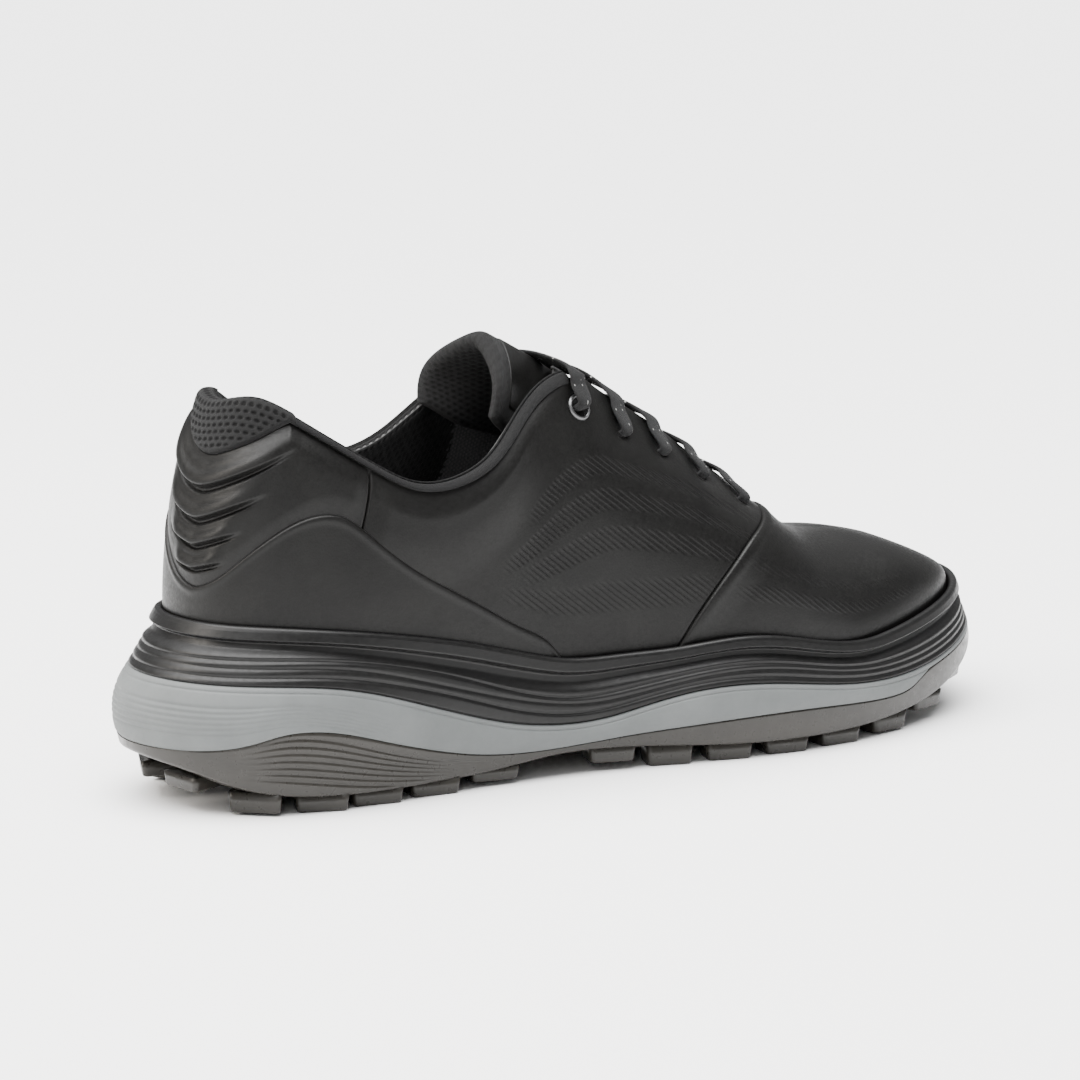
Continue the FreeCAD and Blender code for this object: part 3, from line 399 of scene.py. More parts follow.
def smoke_look():
    look = Look("smoke_rubber", (0.05, 0.045, 0.038), 0.3, Specular_IOR_Level=0.3, Coat_Weight=0.05,
                Coat_Roughness=0.25)
    place = look.object_place()
    flow = look.object_place((30, 9, 60), (math.radians(14), 0, 0))
    streaks = look.noise(flow, 1.5, 5, 0.6)
    look.color(look.between(streaks, (0.011, 0.01, 0.0086), (0.027, 0.0246, 0.021), 0.2, 0.85))
    look.roughness(look.range(look.noise(place, 500, 3), 0.24, 0.42))
    look.bump(look.noise(place, 1500, 3, 0.6), 0.05, 0.3)
    return look.material


def mesh_look(name, low, high):
    """Knitted spacer mesh: painted shade darkens its dimples, with a fine thread pattern between them."""
    look = Look(name, high, 0.85, Sheen_Weight=0.03, Sheen_Roughness=0.6, Specular_IOR_Level=0.15)
    # painted shade: the colour darkens in each dimple, on top of the dimple's real hollow in the geometry
    dip = look.node("ShaderNodeAttribute", attribute_name="dimple_shade").outputs["Fac"]
    weave = look.math("MULTIPLY", *look.threads(45, 4.2, 0.4))
    shade = look.math("SUBTRACT", look.range(weave, 0.55, 1.0, 0, 1), look.math("MULTIPLY", dip, 0.75))
    look.color(look.between(shade, low, high, 0.1, 0.95))
    look.bump(weave, 0.12, 0.6)
    return look.material


def binding_look():
    """Woven tape with threads at a slant."""
    dark, light = (0.0015, 0.0015, 0.0016), (0.009, 0.009, 0.0095)
    look = Look("binding_weave", light, 0.8, Sheen_Weight=0.03, Sheen_Roughness=0.5, Specular_IOR_Level=0.15)
    thread, cross = look.threads(38, 0.5 * math.pi / TAPE_PITCH / 1.57, 0.3)
    weave = look.math("MAXIMUM", thread, look.math("MULTIPLY", cross, 0.8))
    look.color(look.between(weave, dark, light, 0.1, 0.9))
    look.bump(weave, 0.2, 0.8)
    return look.material


def lace_look():
    """Flat braid with small pale flecks."""
    look = Look("lace_braid", (0.035, 0.035, 0.036), 0.75, Sheen_Weight=0.04, Sheen_Roughness=0.5,
                Specular_IOR_Level=0.15)
    weave = look.math("MAXIMUM", *look.threads(40, 1.1, 0.3))
    base = look.between(weave, (0.0025, 0.0025, 0.0026), (0.012, 0.012, 0.0125), 0.1, 0.95)
    flecks = look.cells(look.cloth_place(0.3, (0.42, 0.9, 1)), 1.0, 0.8)
    mix = look.node("ShaderNodeMix", data_type="RGBA")
    look.tree.links.new(look.range(flecks, 1, 0, 0.13, 0.2), mix.inputs["Factor"])
    look.tree.links.new(base, mix.inputs["A"])
    mix.inputs["B"].default_value = (0.32, 0.32, 0.31, 1)
    look.color(mix.outputs["Result"])
    look.bump(weave, 0.22, 0.9)
    return look.material


def metal_look():
    look = Look("dark_metal", (0.1, 0.1, 0.102), 0.3, Metallic=0.85)
    place = look.object_place()
    look.roughness(look.range(look.noise(place, 900, 3), 0.25, 0.4))
    look.bump(look.noise(place, 2500, 2), 0.02, 0.3)
    return look.material


def plain_look(name, low, high, roughness, scale=300):
    look = Look(name, high, roughness)
    place = look.object_place()
    look.color(look.between(look.noise(place, scale, 4, 0.6), low, high))
    look.bump(look.noise(place, scale * 6, 3), 0.06, 0.4)
    return look.material


def knit_look():
    """Knit for the CAD pieces, which have no cloth coordinates."""
    look = Look("knit_plain", (0.03, 0.03, 0.032), 0.9, Sheen_Weight=0.25, Sheen_Roughness=0.5)
    weave = look.cells(look.object_place(turn=(0.6, 0.4, 0.7)), 1100, 0.25)
    look.color(look.between(weave, (0.035, 0.035, 0.037), (0.008, 0.008, 0.009), 0.1, 0.6))
    look.bump(weave, 0.2, 0.6)
    return look.material


TAPE_PITCH = 0.55        # millimetres from thread to thread of the binding's tape
LEATHER_LOOK = leather_look()
BLACK_FOAM = foam_look("black_foam", (0.0018, 0.0018, 0.0019), (0.0038, 0.0037, 0.0036), 0.42)
GREY_FOAM = foam_look("grey_foam", (0.092, 0.098, 0.098), (0.116, 0.123, 0.123), 0.62, 0.07)
SMOKE = smoke_look()
MESH = mesh_look("black_mesh", (0.001, 0.001, 0.0011), (0.0085, 0.0085, 0.0088))
BINDING = binding_look()
LACE = lace_look()
METAL = metal_look()
KNIT = knit_look()
INNER_LOOKS = {
    "shank": plain_look("shank_plastic", (0.03, 0.03, 0.03), (0.06, 0.06, 0.06), 0.5),
    "lasting_board": plain_look("fibre_board", (0.42, 0.37, 0.3), (0.58, 0.53, 0.45), 0.85),
    "stiffener": plain_look("stiffener_sheet", (0.5, 0.48, 0.43), (0.62, 0.6, 0.54), 0.7),
    "foam": plain_look("open_foam", (0.03, 0.03, 0.03), (0.06, 0.06, 0.06), 0.95),
}


# ---------------------------------------------------------------- meshes
def grid_quads(nu, nv, first=0, wrap_u=False, wrap_v=False):
    """Quads of a grid whose vertex (i, j) has the index first + i * nv + j."""
    i = np.arange(nu if wrap_u else nu - 1)
    j = np.arange(nv if wrap_v else nv - 1)
    i, j = np.meshgrid(i, j, indexing="ij")
    i1 = (i + 1) % nu
    j1 = (j + 1) % nv
    quads = np.stack([i * nv + j, i1 * nv + j, i1 * nv + j1, i * nv + j1], -1)
    return quads.reshape(-1, 4) + first


def build(name, verts, quads, look, body, nodes, uv=None, attributes=None):
    """A closed mesh from layout millimetres, riding on a body and standing for CAD nodes."""
    mesh = bpy.data.meshes.new(name)
    verts = np.asarray(verts, float).reshape(-1, 3)
    faces = quads if isinstance(quads, list) else quads.tolist()
    mesh.from_pydata(place_in_frame(verts).tolist(), [], faces)
    if uv is not None:
        layer = mesh.uv_layers.new(name="cloth")
        index = np.empty(len(mesh.loops), np.int32)
        mesh.loops.foreach_get("vertex_index", index)
        layer.data.foreach_set("uv", np.asarray(uv, np.float32).reshape(-1, 2)[index].ravel())
    for key, values in (attributes or {}).items():
        layer = mesh.attributes.new(key, "FLOAT", "POINT")
        layer.data.foreach_set("value", np.asarray(values, np.float32).ravel())
    work = bmesh.new()
    work.from_mesh(mesh)
    bmesh.ops.remove_doubles(work, verts=work.verts, dist=2e-6)
    bmesh.ops.dissolve_degenerate(work, dist=1e-7, edges=work.edges)
    bmesh.ops.recalc_face_normals(work, faces=work.faces)
    work.to_mesh(mesh)
    work.free()
    mesh.polygons.foreach_set("use_smooth", [True] * len(mesh.polygons))
    mesh.materials.append(look)
    piece = bpy.data.objects.new(name, mesh)
    bpy.context.scene.collection.objects.link(piece)
    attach(piece, body)
    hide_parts(*nodes)
    return piece


def spaced(count, ends=0.35):
    """Numbers from 0 to 1, closer together near both ends."""
    a = np.linspace(0, 1, count)
    return a * (1 - ends) + ends * (0.5 - 0.5 * np.cos(math.pi * a))


def lengths(p, axis):
    """Distance in millimetres from the start of a grid of points, along an axis."""
    step = np.linalg.norm(np.diff(p, axis=axis), axis=-1)
    zero = np.zeros_like(np.take(step, [0], axis=axis))
    return np.concatenate([zero, np.cumsum(step, axis=axis)], axis=axis)


def rounded(distance, radius):
    """How far a rounded edge has dropped at a distance from it."""
    d = np.clip(distance, 0, radius)
    return radius - np.sqrt(np.maximum(radius**2 - (radius - d) ** 2, 0))


def from_edges(along, across):
    """Distance in millimetres from the nearest of a grid's four edges."""
    return np.minimum.reduce([along, along[-1:] - along, across, across[:, -1:] - across])


def sheet_mesh(outer, inner):
    """Vertices and quads of the closed sheet between two grids."""
    nu, nv = outer.shape[:2]
    count = nu * nv
    quads = [grid_quads(nu, nv), grid_quads(nu, nv, count)[:, ::-1]]
    index = np.arange(count).reshape(nu, nv)
    rim = np.concatenate([index[:, 0], index[-1, 1:], index[-2::-1, -1], index[0, -2:0:-1]])
    after = np.roll(rim, -1)
    quads.append(np.stack([rim, rim + count, after + count, after], -1))
    return np.concatenate([outer.reshape(-1, 3), inner.reshape(-1, 3)]), np.concatenate(quads)


def sheet(name, outer, inner, look, body, nodes, cloth, marks=None):
    """A closed sheet between two grids; cloth and marks hold values that both of its faces carry."""
    verts, quads = sheet_mesh(outer, inner)
    uv = np.concatenate([np.stack(cloth, -1).reshape(-1, 2)] * 2)
    both = {key: np.concatenate([values.ravel()] * 2) for key, values in (marks or {}).items()}
    return build(name, verts, quads, look, body, nodes, uv, both)


def panel(name, node, place, counts, rolled, relief, depth=0.0, thickness=LEATHER, roll=1.1, marks=None):
    """A leather panel over the upper: place(a, b) gives station and height.

    relief(t, v, along, across) raises the outer face; the edges that rolled names are rounded over.
    """
    a, b = np.meshgrid(spaced(counts[0]), spaced(counts[1]), indexing="ij")
    t, v = place(a, b)
    p, n, _ = upper_frame(t, v)
    ridge = (np.abs(v) > 0.9995) & (np.abs(t) > 7.75)
    n = np.where(ridge[..., None], unit(n * [0, 1, 1]), n)
    along = lengths(p, 0)
    across = lengths(p, 1)
    sides = (along, along[-1:] - along, across, across[:, -1:] - across)
    drop = sum(rounded(d, roll) for d, on in zip(sides, rolled) if on)
    lift = relief(t, v, along, across) - np.minimum(drop, thickness * 0.95) - depth
    outer = p + n * lift[..., None]
    inner = p - n * (depth + thickness)
    return sheet(name, outer, inner, LEATHER_LOOK, "shoe", (node,), (along, across),
                 {"hatch": marks(t, v)} if marks else None)


def rings(name, rows, look, node):
    """A closed ring round the whole sole: rows are (offset, z) at each station, in section order."""
    t = ring_stations()
    grid = np.stack([points(*feather(t, off), z) for off, z in rows], 1)
    quads = grid_quads(len(t), len(rows), 0, True, True)
    uv = np.stack([lengths(grid, 0), lengths(grid, 1)], -1)
    return build(name, grid, quads, look, "shoe", (node,), uv)


SOLE_COLUMNS = 420


def ring_stations():
    """Stations round the sole in matching lateral and medial pairs, closer at the heel's and toe's curves."""
    half = np.linspace(0, 11, SOLE_COLUMNS)
    return np.concatenate([half, -half[-2:0:-1]])


# ---------------------------------------------------------------- upper
def heel_ribs(t, v):
    """Four flowing folds across the back of the heel: each swells downwards and ends in a sharp crease."""
    d = from_tip(t)
    lift = np.zeros_like(d)
    for low, rise, power, end, height, swell in (
        (0.595, 0.130, 1.7, 1.62, 0.135, 1.9),
        (0.460, 0.120, 1.5, 1.22, 0.130, 1.9),
        (0.350, 0.095, 1.3, 0.88, 0.105, 1.7),
        (0.250, 0.075, 1.3, 0.62, 0.095, 1.4),
    ):
        x = (v - (low + rise * d**power)) / height
        tooth = smooth(x, -0.08, 0.07) * (1 - smooth(x, 0.1, 1.1))
        fade = smooth(d, end, end * 0.45)
        lift += swell * tooth * fade
        undercut = (x + 0.13) / 0.08
        lift -= 0.8 * np.exp(-undercut * undercut) * fade
        second = (x - 0.5) / 0.16
        lift -= 0.35 * np.exp(-second * second) * smooth(d, end * 0.75, end * 0.3)
    return lift


def collar_roll(across_from_top, t):
    """The padded collar turns in towards the top line."""
    rear = smooth(np.abs(t), 5.6, 5.1)
    d = np.clip(1 - across_from_top / 9.0, 0, 1)
    return -1.6 * d * d * rear


PANEL_TOP = 0.974


def make_heel_panel():
    def place(a, b):
        t = -PANEL_FRONT + 2 * PANEL_FRONT * a
        low = foxing_border(from_tip(t)) - 0.05
        high = np.minimum(tab_border(from_tip(t)) - 0.004, PANEL_TOP)
        return t, low + (high - low) * b

    def relief(t, v, along, across):
        puff = 0.9 * smooth(across, 0, 9) * smooth(across[:, -1:] - across, 0, 7)
        ends = smooth(np.minimum(along, along[-1:] - along), 0, 6)
        rolled_in = collar_roll(across[:, -1:] - across, t) * smooth(from_tip(t), 1.0, 1.6)
        return heel_ribs(t, v) + puff * ends + rolled_in

    return panel("heel_collar_panel_leather", "heel_collar_panel", place, (420, 190), (1, 1, 0, 1), relief)


def dimples(along, across):
    """Staggered oval dimples of a spacer mesh, 1 in the middle of each and 0 between them."""
    pitch, size = 2.3, 0.62
    gx = along / pitch
    gy = across / (pitch * 0.86)
    row = np.round(gy)
    gx = gx - 0.5 * (row % 2)
    dx = (gx - np.round(gx)) * pitch / (size * 1.35)
    dy = (gy - row) * pitch * 0.86 / size
    return 1 - smooth(np.hypot(dx, dy), 0.45, 1.25)


def make_heel_tab():
    """The mesh at the back: up the outside, then over the collar's crown as one rounded dome."""
    columns, wall_rows, crown_rows = 260, 70, 40
    size = (columns, wall_rows + crown_rows)
    start = PANEL_TOP - 0.006
    t = spaced(columns) * (TAB_LATERAL_END - TAB_MEDIAL_END) + TAB_MEDIAL_END
    base = np.minimum(tab_border(from_tip(t)) - 0.012, PANEL_TOP - 0.012)[:, None]
    tt, share = np.meshgrid(t, np.linspace(0, 1, wall_rows), indexing="ij")
    p, n, _ = upper_frame(tt, base + (start - base) * share)
    turned, phi = np.meshgrid(t, np.radians(np.linspace(4, 100, crown_rows)), indexing="ij")

    def face(lift):
        wall = p + n * (lift[:, :wall_rows] - 0.5)[..., None]
        return np.concatenate([wall, collar_section(turned, phi, lift[:, wall_rows:])], 1)

    plain = face(np.zeros(size))
    along = np.repeat(lengths(plain, 0)[:, wall_rows - 10 : wall_rows - 9], size[1], 1)
    across = lengths(plain, 1)
    edge = np.minimum.reduce([along, along[-1:] - along, across])
    marks = dimples(along, across - across[:, wall_rows - 1 : wall_rows]) * smooth(edge, 0.8, 2.2)
    outer = face(1.5 - rounded(edge, 1.5) - 0.45 * marks)
    # the dimple marks also paint shade into the mesh's colour
    return sheet("heel_tab_mesh", outer, face(np.full(size, -0.6)), MESH, "shoe", ("heel_tab",),
                 (along, across), {"dimple_shade": marks})


def make_foxing():
    def place(a, b):
        t = -FOXING_END + 2 * FOXING_END * a
        high = foxing_border(from_tip(t))
        low = np.minimum(-0.25, high - 0.1)
        return t, low + (high - low) * b

    def relief(t, v, along, across):
        edge = across[:, -1:] - across
        return 0.25 * np.exp(-(((edge - 1.6) / 1.1) ** 2))

    return panel("heel_foxing_leather", "heel_foxing", place, (440, 90), (0, 0, 0, 1), relief, -0.95, 2.1, 0.9)


# Middle lines of the pressed bands on the lateral quarter and the vamp: station and rib height
HATCH_BANDS = [
    ([(4.9, 0.60), (5.4, 0.66), (6.0, 0.68), (6.6, 0.66), (7.1, 0.62)], 0.050, 1.0),
    ([(4.55, 0.42), (5.1, 0.50), (5.8, 0.535), (6.5, 0.51), (7.0, 0.47)], 0.055, 1.0),
    ([(4.75, 0.34), (5.4, 0.37), (6.0, 0.37), (6.75, 0.33)], 0.055, 0.75),
    ([(4.5, 0.27), (5.0, 0.20), (5.6, 0.17), (6.4, 0.18)], 0.06, 0.5),
    ([(6.75, 0.16), (7.3, 0.17), (8.2, 0.19), (9.0, 0.2)], 0.045, 0.45),
    ([(6.95, 0.30), (7.5, 0.31), (8.2, 0.31), (9.0, 0.3)], 0.045, 0.35),
]


def hatch_marks(t, v):
    """1 inside the bands of pressed lines on both sides of the shoe, 0 outside them."""
    s = np.abs(t)
    mark = np.zeros_like(s)
    for line, half, strength in HATCH_BANDS:
        middle = spline(line)(s)
        inside = smooth(np.abs(v - middle), half, half * 0.35)
        start, end = line[0][0], line[-1][0]
        ends = smooth(s, start - 0.15, start + 0.35) * smooth(s, end + 0.25, end - 0.2)
        mark = np.maximum(mark, inside * ends * strength)
    return mark


def hole_dips(p):
    """Soft dips in the leather round the lace holes."""
    dip = np.zeros(p.shape[:-1])
    for k, (s, h) in enumerate(LACE_ROWS):
        for side in (1, -1):
            d = np.linalg.norm(p - upper(side * s, h), axis=-1)
            wide = 0.9 if k == 0 else 0.55
            dip += wide * np.exp(-((d / 4.6) ** 2)) + 0.5 * np.exp(-((d / 2.2) ** 2))
    return -dip


def make_quarter(side, name):
    def place(a, b):
        rear = PANEL_FRONT
        v = np.zeros_like(a)
        for _ in range(14):
            s = rear + (vamp_seam(v) + 0.06 - rear) * a
            v = 0.5 * v + 0.5 * np.maximum(foxing_border(s) - 0.05, -0.3)
        s_top = rear + (vamp_seam(1.0) - rear) * a
        top = PANEL_TOP + (1 - PANEL_TOP) * smooth(s_top, 5.35, 5.75)
        v = v + (top - v) * b
        s = rear + (vamp_seam(v) + 0.06 - rear) * a
        return side * s, v

    def relief(t, v, along, across):
        from_top = across[:, -1:] - across
        s = np.abs(t)
        tuck = -0.9 * smooth(along[-1:] - along, 3.2, 0.4)
        padding = smooth(from_top, 0, 9) * smooth(from_top, 34, 14) * smooth(s, 5.3, 4.6) * smooth(along, 0, 8)
        return collar_roll(from_top, t) + tuck + padding + hole_dips(upper(t, v))

    return panel("quarter_" + name + "_leather", "quarter_" + name, place, (520, 260), (1, 0, 0, 1), relief,
                 marks=hatch_marks)


def make_vamp():
    def place(a, b):
        side = np.where(b <= 0.5, 1.0, -1.0)
        r = 1 - np.abs(2 * b - 1)
        v = -0.3 + 1.3 * r
        start = vamp_seam(v)
        return side * (start + (TOE_END - start) * a), v

    def relief(t, v, along, across):
        edge = 0.75 * smooth(along, 14, 1.5) + 0.25 * np.exp(-(((along - 3) / 2.2) ** 2))
        return edge * smooth(v, -0.1, 0.1)

    return panel("vamp_leather", "vamp", place, (400, 361), (1, 0, 0, 0), relief, marks=hatch_marks)


COLLAR_END = 5.5


def collar_section(t, phi, lift=0.0):
    """The collar's rounded top: phi 0 at the outer leather, 180 degrees at the lining's inner face."""
    low, n, up = upper_frame(t, PANEL_TOP - 0.006)
    top = upper(t, 1.0)
    height = np.linalg.norm(top - low, axis=-1)
    depth = wall_depth(t, 0.95)
    c, s = np.cos(phi), np.sin(phi)
    center = low - n * (depth / 2)[..., None]
    return center + n * ((depth / 2 + lift - 0.5) * c)[..., None] + up * ((height + lift) * s)[..., None]


def make_binding():
    t = np.linspace(-COLLAR_END, COLLAR_END, 700)
    t, phi = np.meshgrid(t, np.radians(np.linspace(-8, 82, 30)), indexing="ij")
    bead = 0.35 + 0.25 * np.cos((phi - math.radians(30)) * 2.2)
    outer = collar_section(t, phi, bead)
    return sheet("collar_binding_tape", outer, collar_section(t, phi, -0.8), BINDING, "shoe",
                 ("collar_binding",), (lengths(outer, 0), lengths(outer, 1)))


def make_collar_lining():
    """The mesh lining: over the collar's crown and down the inside of the heel to the footbed."""
    t = np.linspace(-COLLAR_END, COLLAR_END, 620)
    tt, phi = np.meshgrid(t, np.radians(np.linspace(80, 180, 24)), indexing="ij")
    crown = collar_section(tt, phi)
    tt, vv = np.meshgrid(t, np.linspace(PANEL_TOP - 0.03, -0.85, 120), indexing="ij")
    p, n, _ = upper_frame(tt, vv)
    wall = p - n * (wall_depth(tt, np.maximum(vv, 0)) - 0.5)[..., None]
    outer = np.concatenate([crown, wall], 1)
    along = lengths(outer, 0)
    across = lengths(outer, 1)
    normal = unit(np.cross(np.gradient(outer, axis=0), np.gradient(outer, axis=1)))
    outwards = np.concatenate([np.broadcast_to(n[:, :1], crown.shape), n], 1)
    inward = normal * np.sign((normal * -outwards).sum(-1))[..., None]
    marks = dimples(along, across)
    face = outer - inward * (0.4 * marks)[..., None]
    # the dimple marks also paint shade into the mesh's colour
    return sheet("collar_lining_mesh", face, outer - inward * 0.9, MESH, "shoe", ("collar_lining",),
                 (along, across), {"dimple_shade": marks})


# ---------------------------------------------------------------- tongue
EAR_START = 0.72
RIDGE = 0.12


def tongue_section(u, w):
    """x and drop of the tongue's outer face: a rounded arch lower down and a soft tent with ears at the top."""
    ear = smooth(u, EAR_START, 1.0)
    side = np.abs(w)
    ridge = np.hypot(side, RIDGE) - RIDGE
    x = tongue_half(u) * (w * (1 - ear) + np.sin(math.pi / 2 * w) * ear)
    return x, tongue_drop(u) * (side**1.65 * (1 - ear) + (0.85 * ridge + 0.25 * side**4) * ear)


def tongue_point(u, w, depth=0.0):
    """The tongue's outer face: u from base to top, w from -1 to 1 across, and a depth below it."""
    e = 0.01
    u = u * (1 - 0.035 * np.abs(w) ** 5)
    ty = tongue_y(u + e) - tongue_y(u - e)
    tz = tongue_z(u + e) - tongue_z(u - e)
    length = np.hypot(ty, tz)
    zero = np.zeros_like(length)
    normal = points(zero, tz / length, -ty / length)
    x, drop = tongue_section(u, w)
    x_ahead, drop_ahead = tongue_section(u, w + e)
    x_behind, drop_behind = tongue_section(u, w - e)
    side = unit(points(drop_ahead - drop_behind, zero, zero) + normal * (x_ahead - x_behind)[..., None])
    middle = points(x, tongue_y(u), tongue_z(u)) - normal * drop[..., None]
    return middle - side * np.asarray(depth)[..., None]


def tongue_grid(height=1.0, half=1.0):
    """Places on the tongue up to a share of its height and of its half width, and the lengths along them."""
    u, w = np.meshgrid(spaced(150) * height, (spaced(110) * 2 - 1) * half, indexing="ij")
    face = tongue_point(u, w)
    return u, w, lengths(face, 0), lengths(face, 1)


def make_tongue_pad():
    u, w, along, across = tongue_grid()
    body = TONGUE_PAD / 2 * (1 - rounded(from_edges(along, across), 3.2) / 3.2 * 0.92)
    marks = dimples(along, across)
    outer = tongue_point(u, w, TONGUE_PAD / 2 - body)
    inner = tongue_point(u, w, TONGUE_PAD / 2 + body - 0.4 * marks)
    # the dimple marks also paint shade into the mesh's colour
    pad = sheet("tongue_mesh_pad", outer, inner, MESH, "tongue", ("tongue_foam", "tongue_lining"),
                (along, across), {"dimple_shade": marks})


def make_tongue_leather():
    u, w, along, across = tongue_grid(0.93, 0.86)
    outer = tongue_point(u, w, rounded(from_edges(along, across), 0.9) - 0.25)
    inner = tongue_point(u, w, np.full_like(u, 1.4))
    return sheet("tongue_leather", outer, inner, LEATHER_LOOK, "tongue", ("tongue_cover",),
                 (along, across))


# ---------------------------------------------------------------- laces and eyelets
LACE_AIR = 0.45          # between the lace and the surface that it lies on
LACE_DEPTH = LEATHER + STIFFENER + LINING + 2 * GAP + LACE_AIR + LACE_THICKNESS / 2
LACE_LIFT = LACE_THICKNESS / 2 + LACE_AIR
EYELET_STEP = 1.3        # how much higher a strand leaves an eyelet's ring than a plain hole
CROSSING = LACE_THICKNESS + 0.1
EYESTAY_EDGE = 0.995     # rib height of the eyestay's edge


def lace_end(side, row):
    """A strand's start, out of its hole and up to the eyestay's edge: (point, facing, width)."""
    s, v = LACE_ROWS[row]
    step = EYELET_STEP if row == 0 else 0
    hole, normal, up = upper_frame(side * s, v)
    bend = hole + normal * (LACE_LIFT + step * 0.8) + up * 0.6
    line = [
        (hole - normal * LACE_DEPTH, up, LACE_GATHERED),
        (hole - normal * 1.0, up, LACE_GATHERED),
        (bend, unit(normal - up * 0.5), LACE_GATHERED),
    ]
    for q in (0.4, 0.7, 1.0):
        point, n, _ = upper_frame(side * s, v + (EYESTAY_EDGE - v) * q)
        line.append((point + n * (LACE_LIFT + step * (1 - q)), n, LACE_WIDTH))
    return line


def lace_tuck(side, row):
    """A strand's finish, under the eyestay's edge and down to the underside of its hole."""
    s, v = LACE_ROWS[row]
    line = []
    for q in (0.9, 0.45, 0.0):
        point, n, _ = upper_frame(side * s, v + (EYESTAY_EDGE - v) * q)
        line.append((point - n * LACE_DEPTH, n, LACE_WIDTH if q else LACE_GATHERED))
    return line


def tongue_crown(y, height):
    """The point over the middle of the tongue at y."""
    u = np.linspace(0, 1, 501)
    return tongue_point(np.interp(-y, -tongue_y(u), u), np.float64(0.0), -height)


def strand(start, finish, height):
    """The lace from one side to the other, over the tongue's crown at a height above it."""
    first, first_facing, _ = start[-1]
    last, last_facing, _ = finish[0]
    crown = tongue_crown((first[1] + last[1]) / 2, LACE_LIFT + height)
    facing = unit(first_facing + last_facing)
    bow = max((crown - (first + last) / 2) @ facing, 0.4)
    middle = []
    for q in (0.25, 0.5, 0.75):
        rise = facing * (bow * math.sin(math.pi * q))
        middle.append((first * (1 - q) + last * q + rise, facing, LACE_WIDTH))
    return start + middle + finish


def lace_routes():
    """A straight bar between the top eyelets, crossed strands below it and a tucked bar at the bottom."""
    last = len(LACE_ROWS) - 1
    routes = [strand(lace_end(1, 0), lace_end(-1, 0)[::-1], 0)]
    for row in range(1, last + 1):
        routes.append(strand(lace_end(1, row), lace_tuck(-1, row - 1), CROSSING))
        routes.append(strand(lace_end(-1, row), lace_tuck(1, row - 1), 0))
    routes.append(strand(lace_tuck(1, last)[::-1], lace_tuck(-1, last), 0))
    return routes


def ribbon(route, count):
    """Vertices, faces and cloth coordinates of a flat braid with rounded edges along a route."""
    knots = np.arange(len(route))
    where = np.linspace(0, len(route) - 1, count)

    def follow(values):
        return spline(np.stack([knots, values], 1))(where)

    line = np.stack([follow([r[0][k] for r in route]) for k in range(3)], -1)
    facing = np.stack([follow([r[1][k] for r in route]) for k in range(3)], -1)
    width = follow([r[2] for r in route])
    direction = unit(np.gradient(line, axis=0))
    across = unit(np.cross(direction, facing))
    for i in range(1, count):
        if across[i] @ across[i - 1] < 0:
            across[i] *= -1
    face = np.cross(across, direction)
    angle = np.linspace(0, 2 * math.pi, 28, endpoint=False)
    flat = np.sign(np.cos(angle)) * np.abs(np.cos(angle)) ** 0.75 * width[:, None] / 2
    bunch = 1 + 0.35 * (LACE_WIDTH - width[:, None]) / (LACE_WIDTH - LACE_GATHERED)
    thick = np.sign(np.sin(angle)) * np.abs(np.sin(angle)) ** 0.8 * bunch * LACE_THICKNESS / 2
    tube = line[:, None] + across[:, None] * flat[..., None] + face[:, None] * thick[..., None]
    verts = np.concatenate([tube.reshape(-1, 3), line[:1], line[-1:]])
    nv = len(angle)
    quads = grid_quads(count, nv, 0, False, True).tolist()
    last = count * nv
    for j in range(nv):
        quads.append([last, (j + 1) % nv, j])
        quads.append([last + 1, (count - 1) * nv + j, (count - 1) * nv + (j + 1) % nv])
    along = np.broadcast_to(lengths(line, 0)[:, None], (count, nv))
    uv = np.concatenate([np.stack([along, flat], -1).reshape(-1, 2), [[0, 0], [along[-1, 0], 0]]])
    return verts, quads, uv


def make_laces():
    verts, quads, uvs, count = [], [], [], 0
    for route in lace_routes():
        p, q, uv = ribbon(route, 180)
        verts.append(p)
        quads += [[i + count for i in face] for face in q]
        uvs.append(uv)
        count += len(p)
    return build("lace_braid", np.concatenate(verts), quads, LACE, "shoe", ("lace",),
                 np.concatenate(uvs))


def make_eyelets():
    """Round lacquered rings at the top lace holes."""
    profile = [(EYELET_OUTER, 0.15), (EYELET_OUTER - 0.15, 0.6), (EYELET_OUTER - 0.6, 0.95), (3.4, 0.98),
               (3.05, 0.7), (EYELET_HOLE - 0.5, 0.2), (EYELET_HOLE - 0.5, -1.3), (EYELET_HOLE - 0.1, -1.3),
               (EYELET_HOLE - 0.1, 0.05), (EYELET_OUTER - 0.1, 0.05)]
    s, v = LACE_ROWS[0]
    verts, quads = [], []
    angle = np.linspace(0, 2 * math.pi, 64, endpoint=False)
    for k, side in enumerate((1, -1)):
        point, n, up = upper_frame(side * s, v)
        point = point - n * 0.75
        along = np.cross(up, n)
        r = np.array(profile)
        ring = (point + along * (np.cos(angle)[:, None, None] * r[None, :, :1])
                + up * (np.sin(angle)[:, None, None] * r[None, :, :1]) + n * r[None, :, 1:])
        verts.append(ring.reshape(-1, 3))
        quads.append(grid_quads(64, len(profile), k * 64 * len(profile), True, True))
    return build("top_eyelet_rings", np.concatenate(verts), np.concatenate(quads), METAL, "shoe", ("top_eyelets",))


# ---------------------------------------------------------------- sole
# Flowing grooves on the black midsole's side: (y, share of its height) and depth
BLACK_GROOVES = [
    ([(0, 0.41), (25, 0.44), (60, 0.51), (90, 0.52), (120, 0.43), (150, 0.42), (200, 0.45), (250, 0.42),
      (300, 0.4)], 0.5),
    ([(0, 0.33), (25, 0.31), (60, 0.37), (90, 0.36), (120, 0.34), (150, 0.29), (200, 0.33), (250, 0.28),
      (300, 0.3)], 0.28),
    ([(0, 0.14), (25, 0.15), (60, 0.21), (90, 0.24), (120, 0.18), (150, 0.17), (200, 0.16), (250, 0.14),
      (300, 0.13)], 0.45),
]


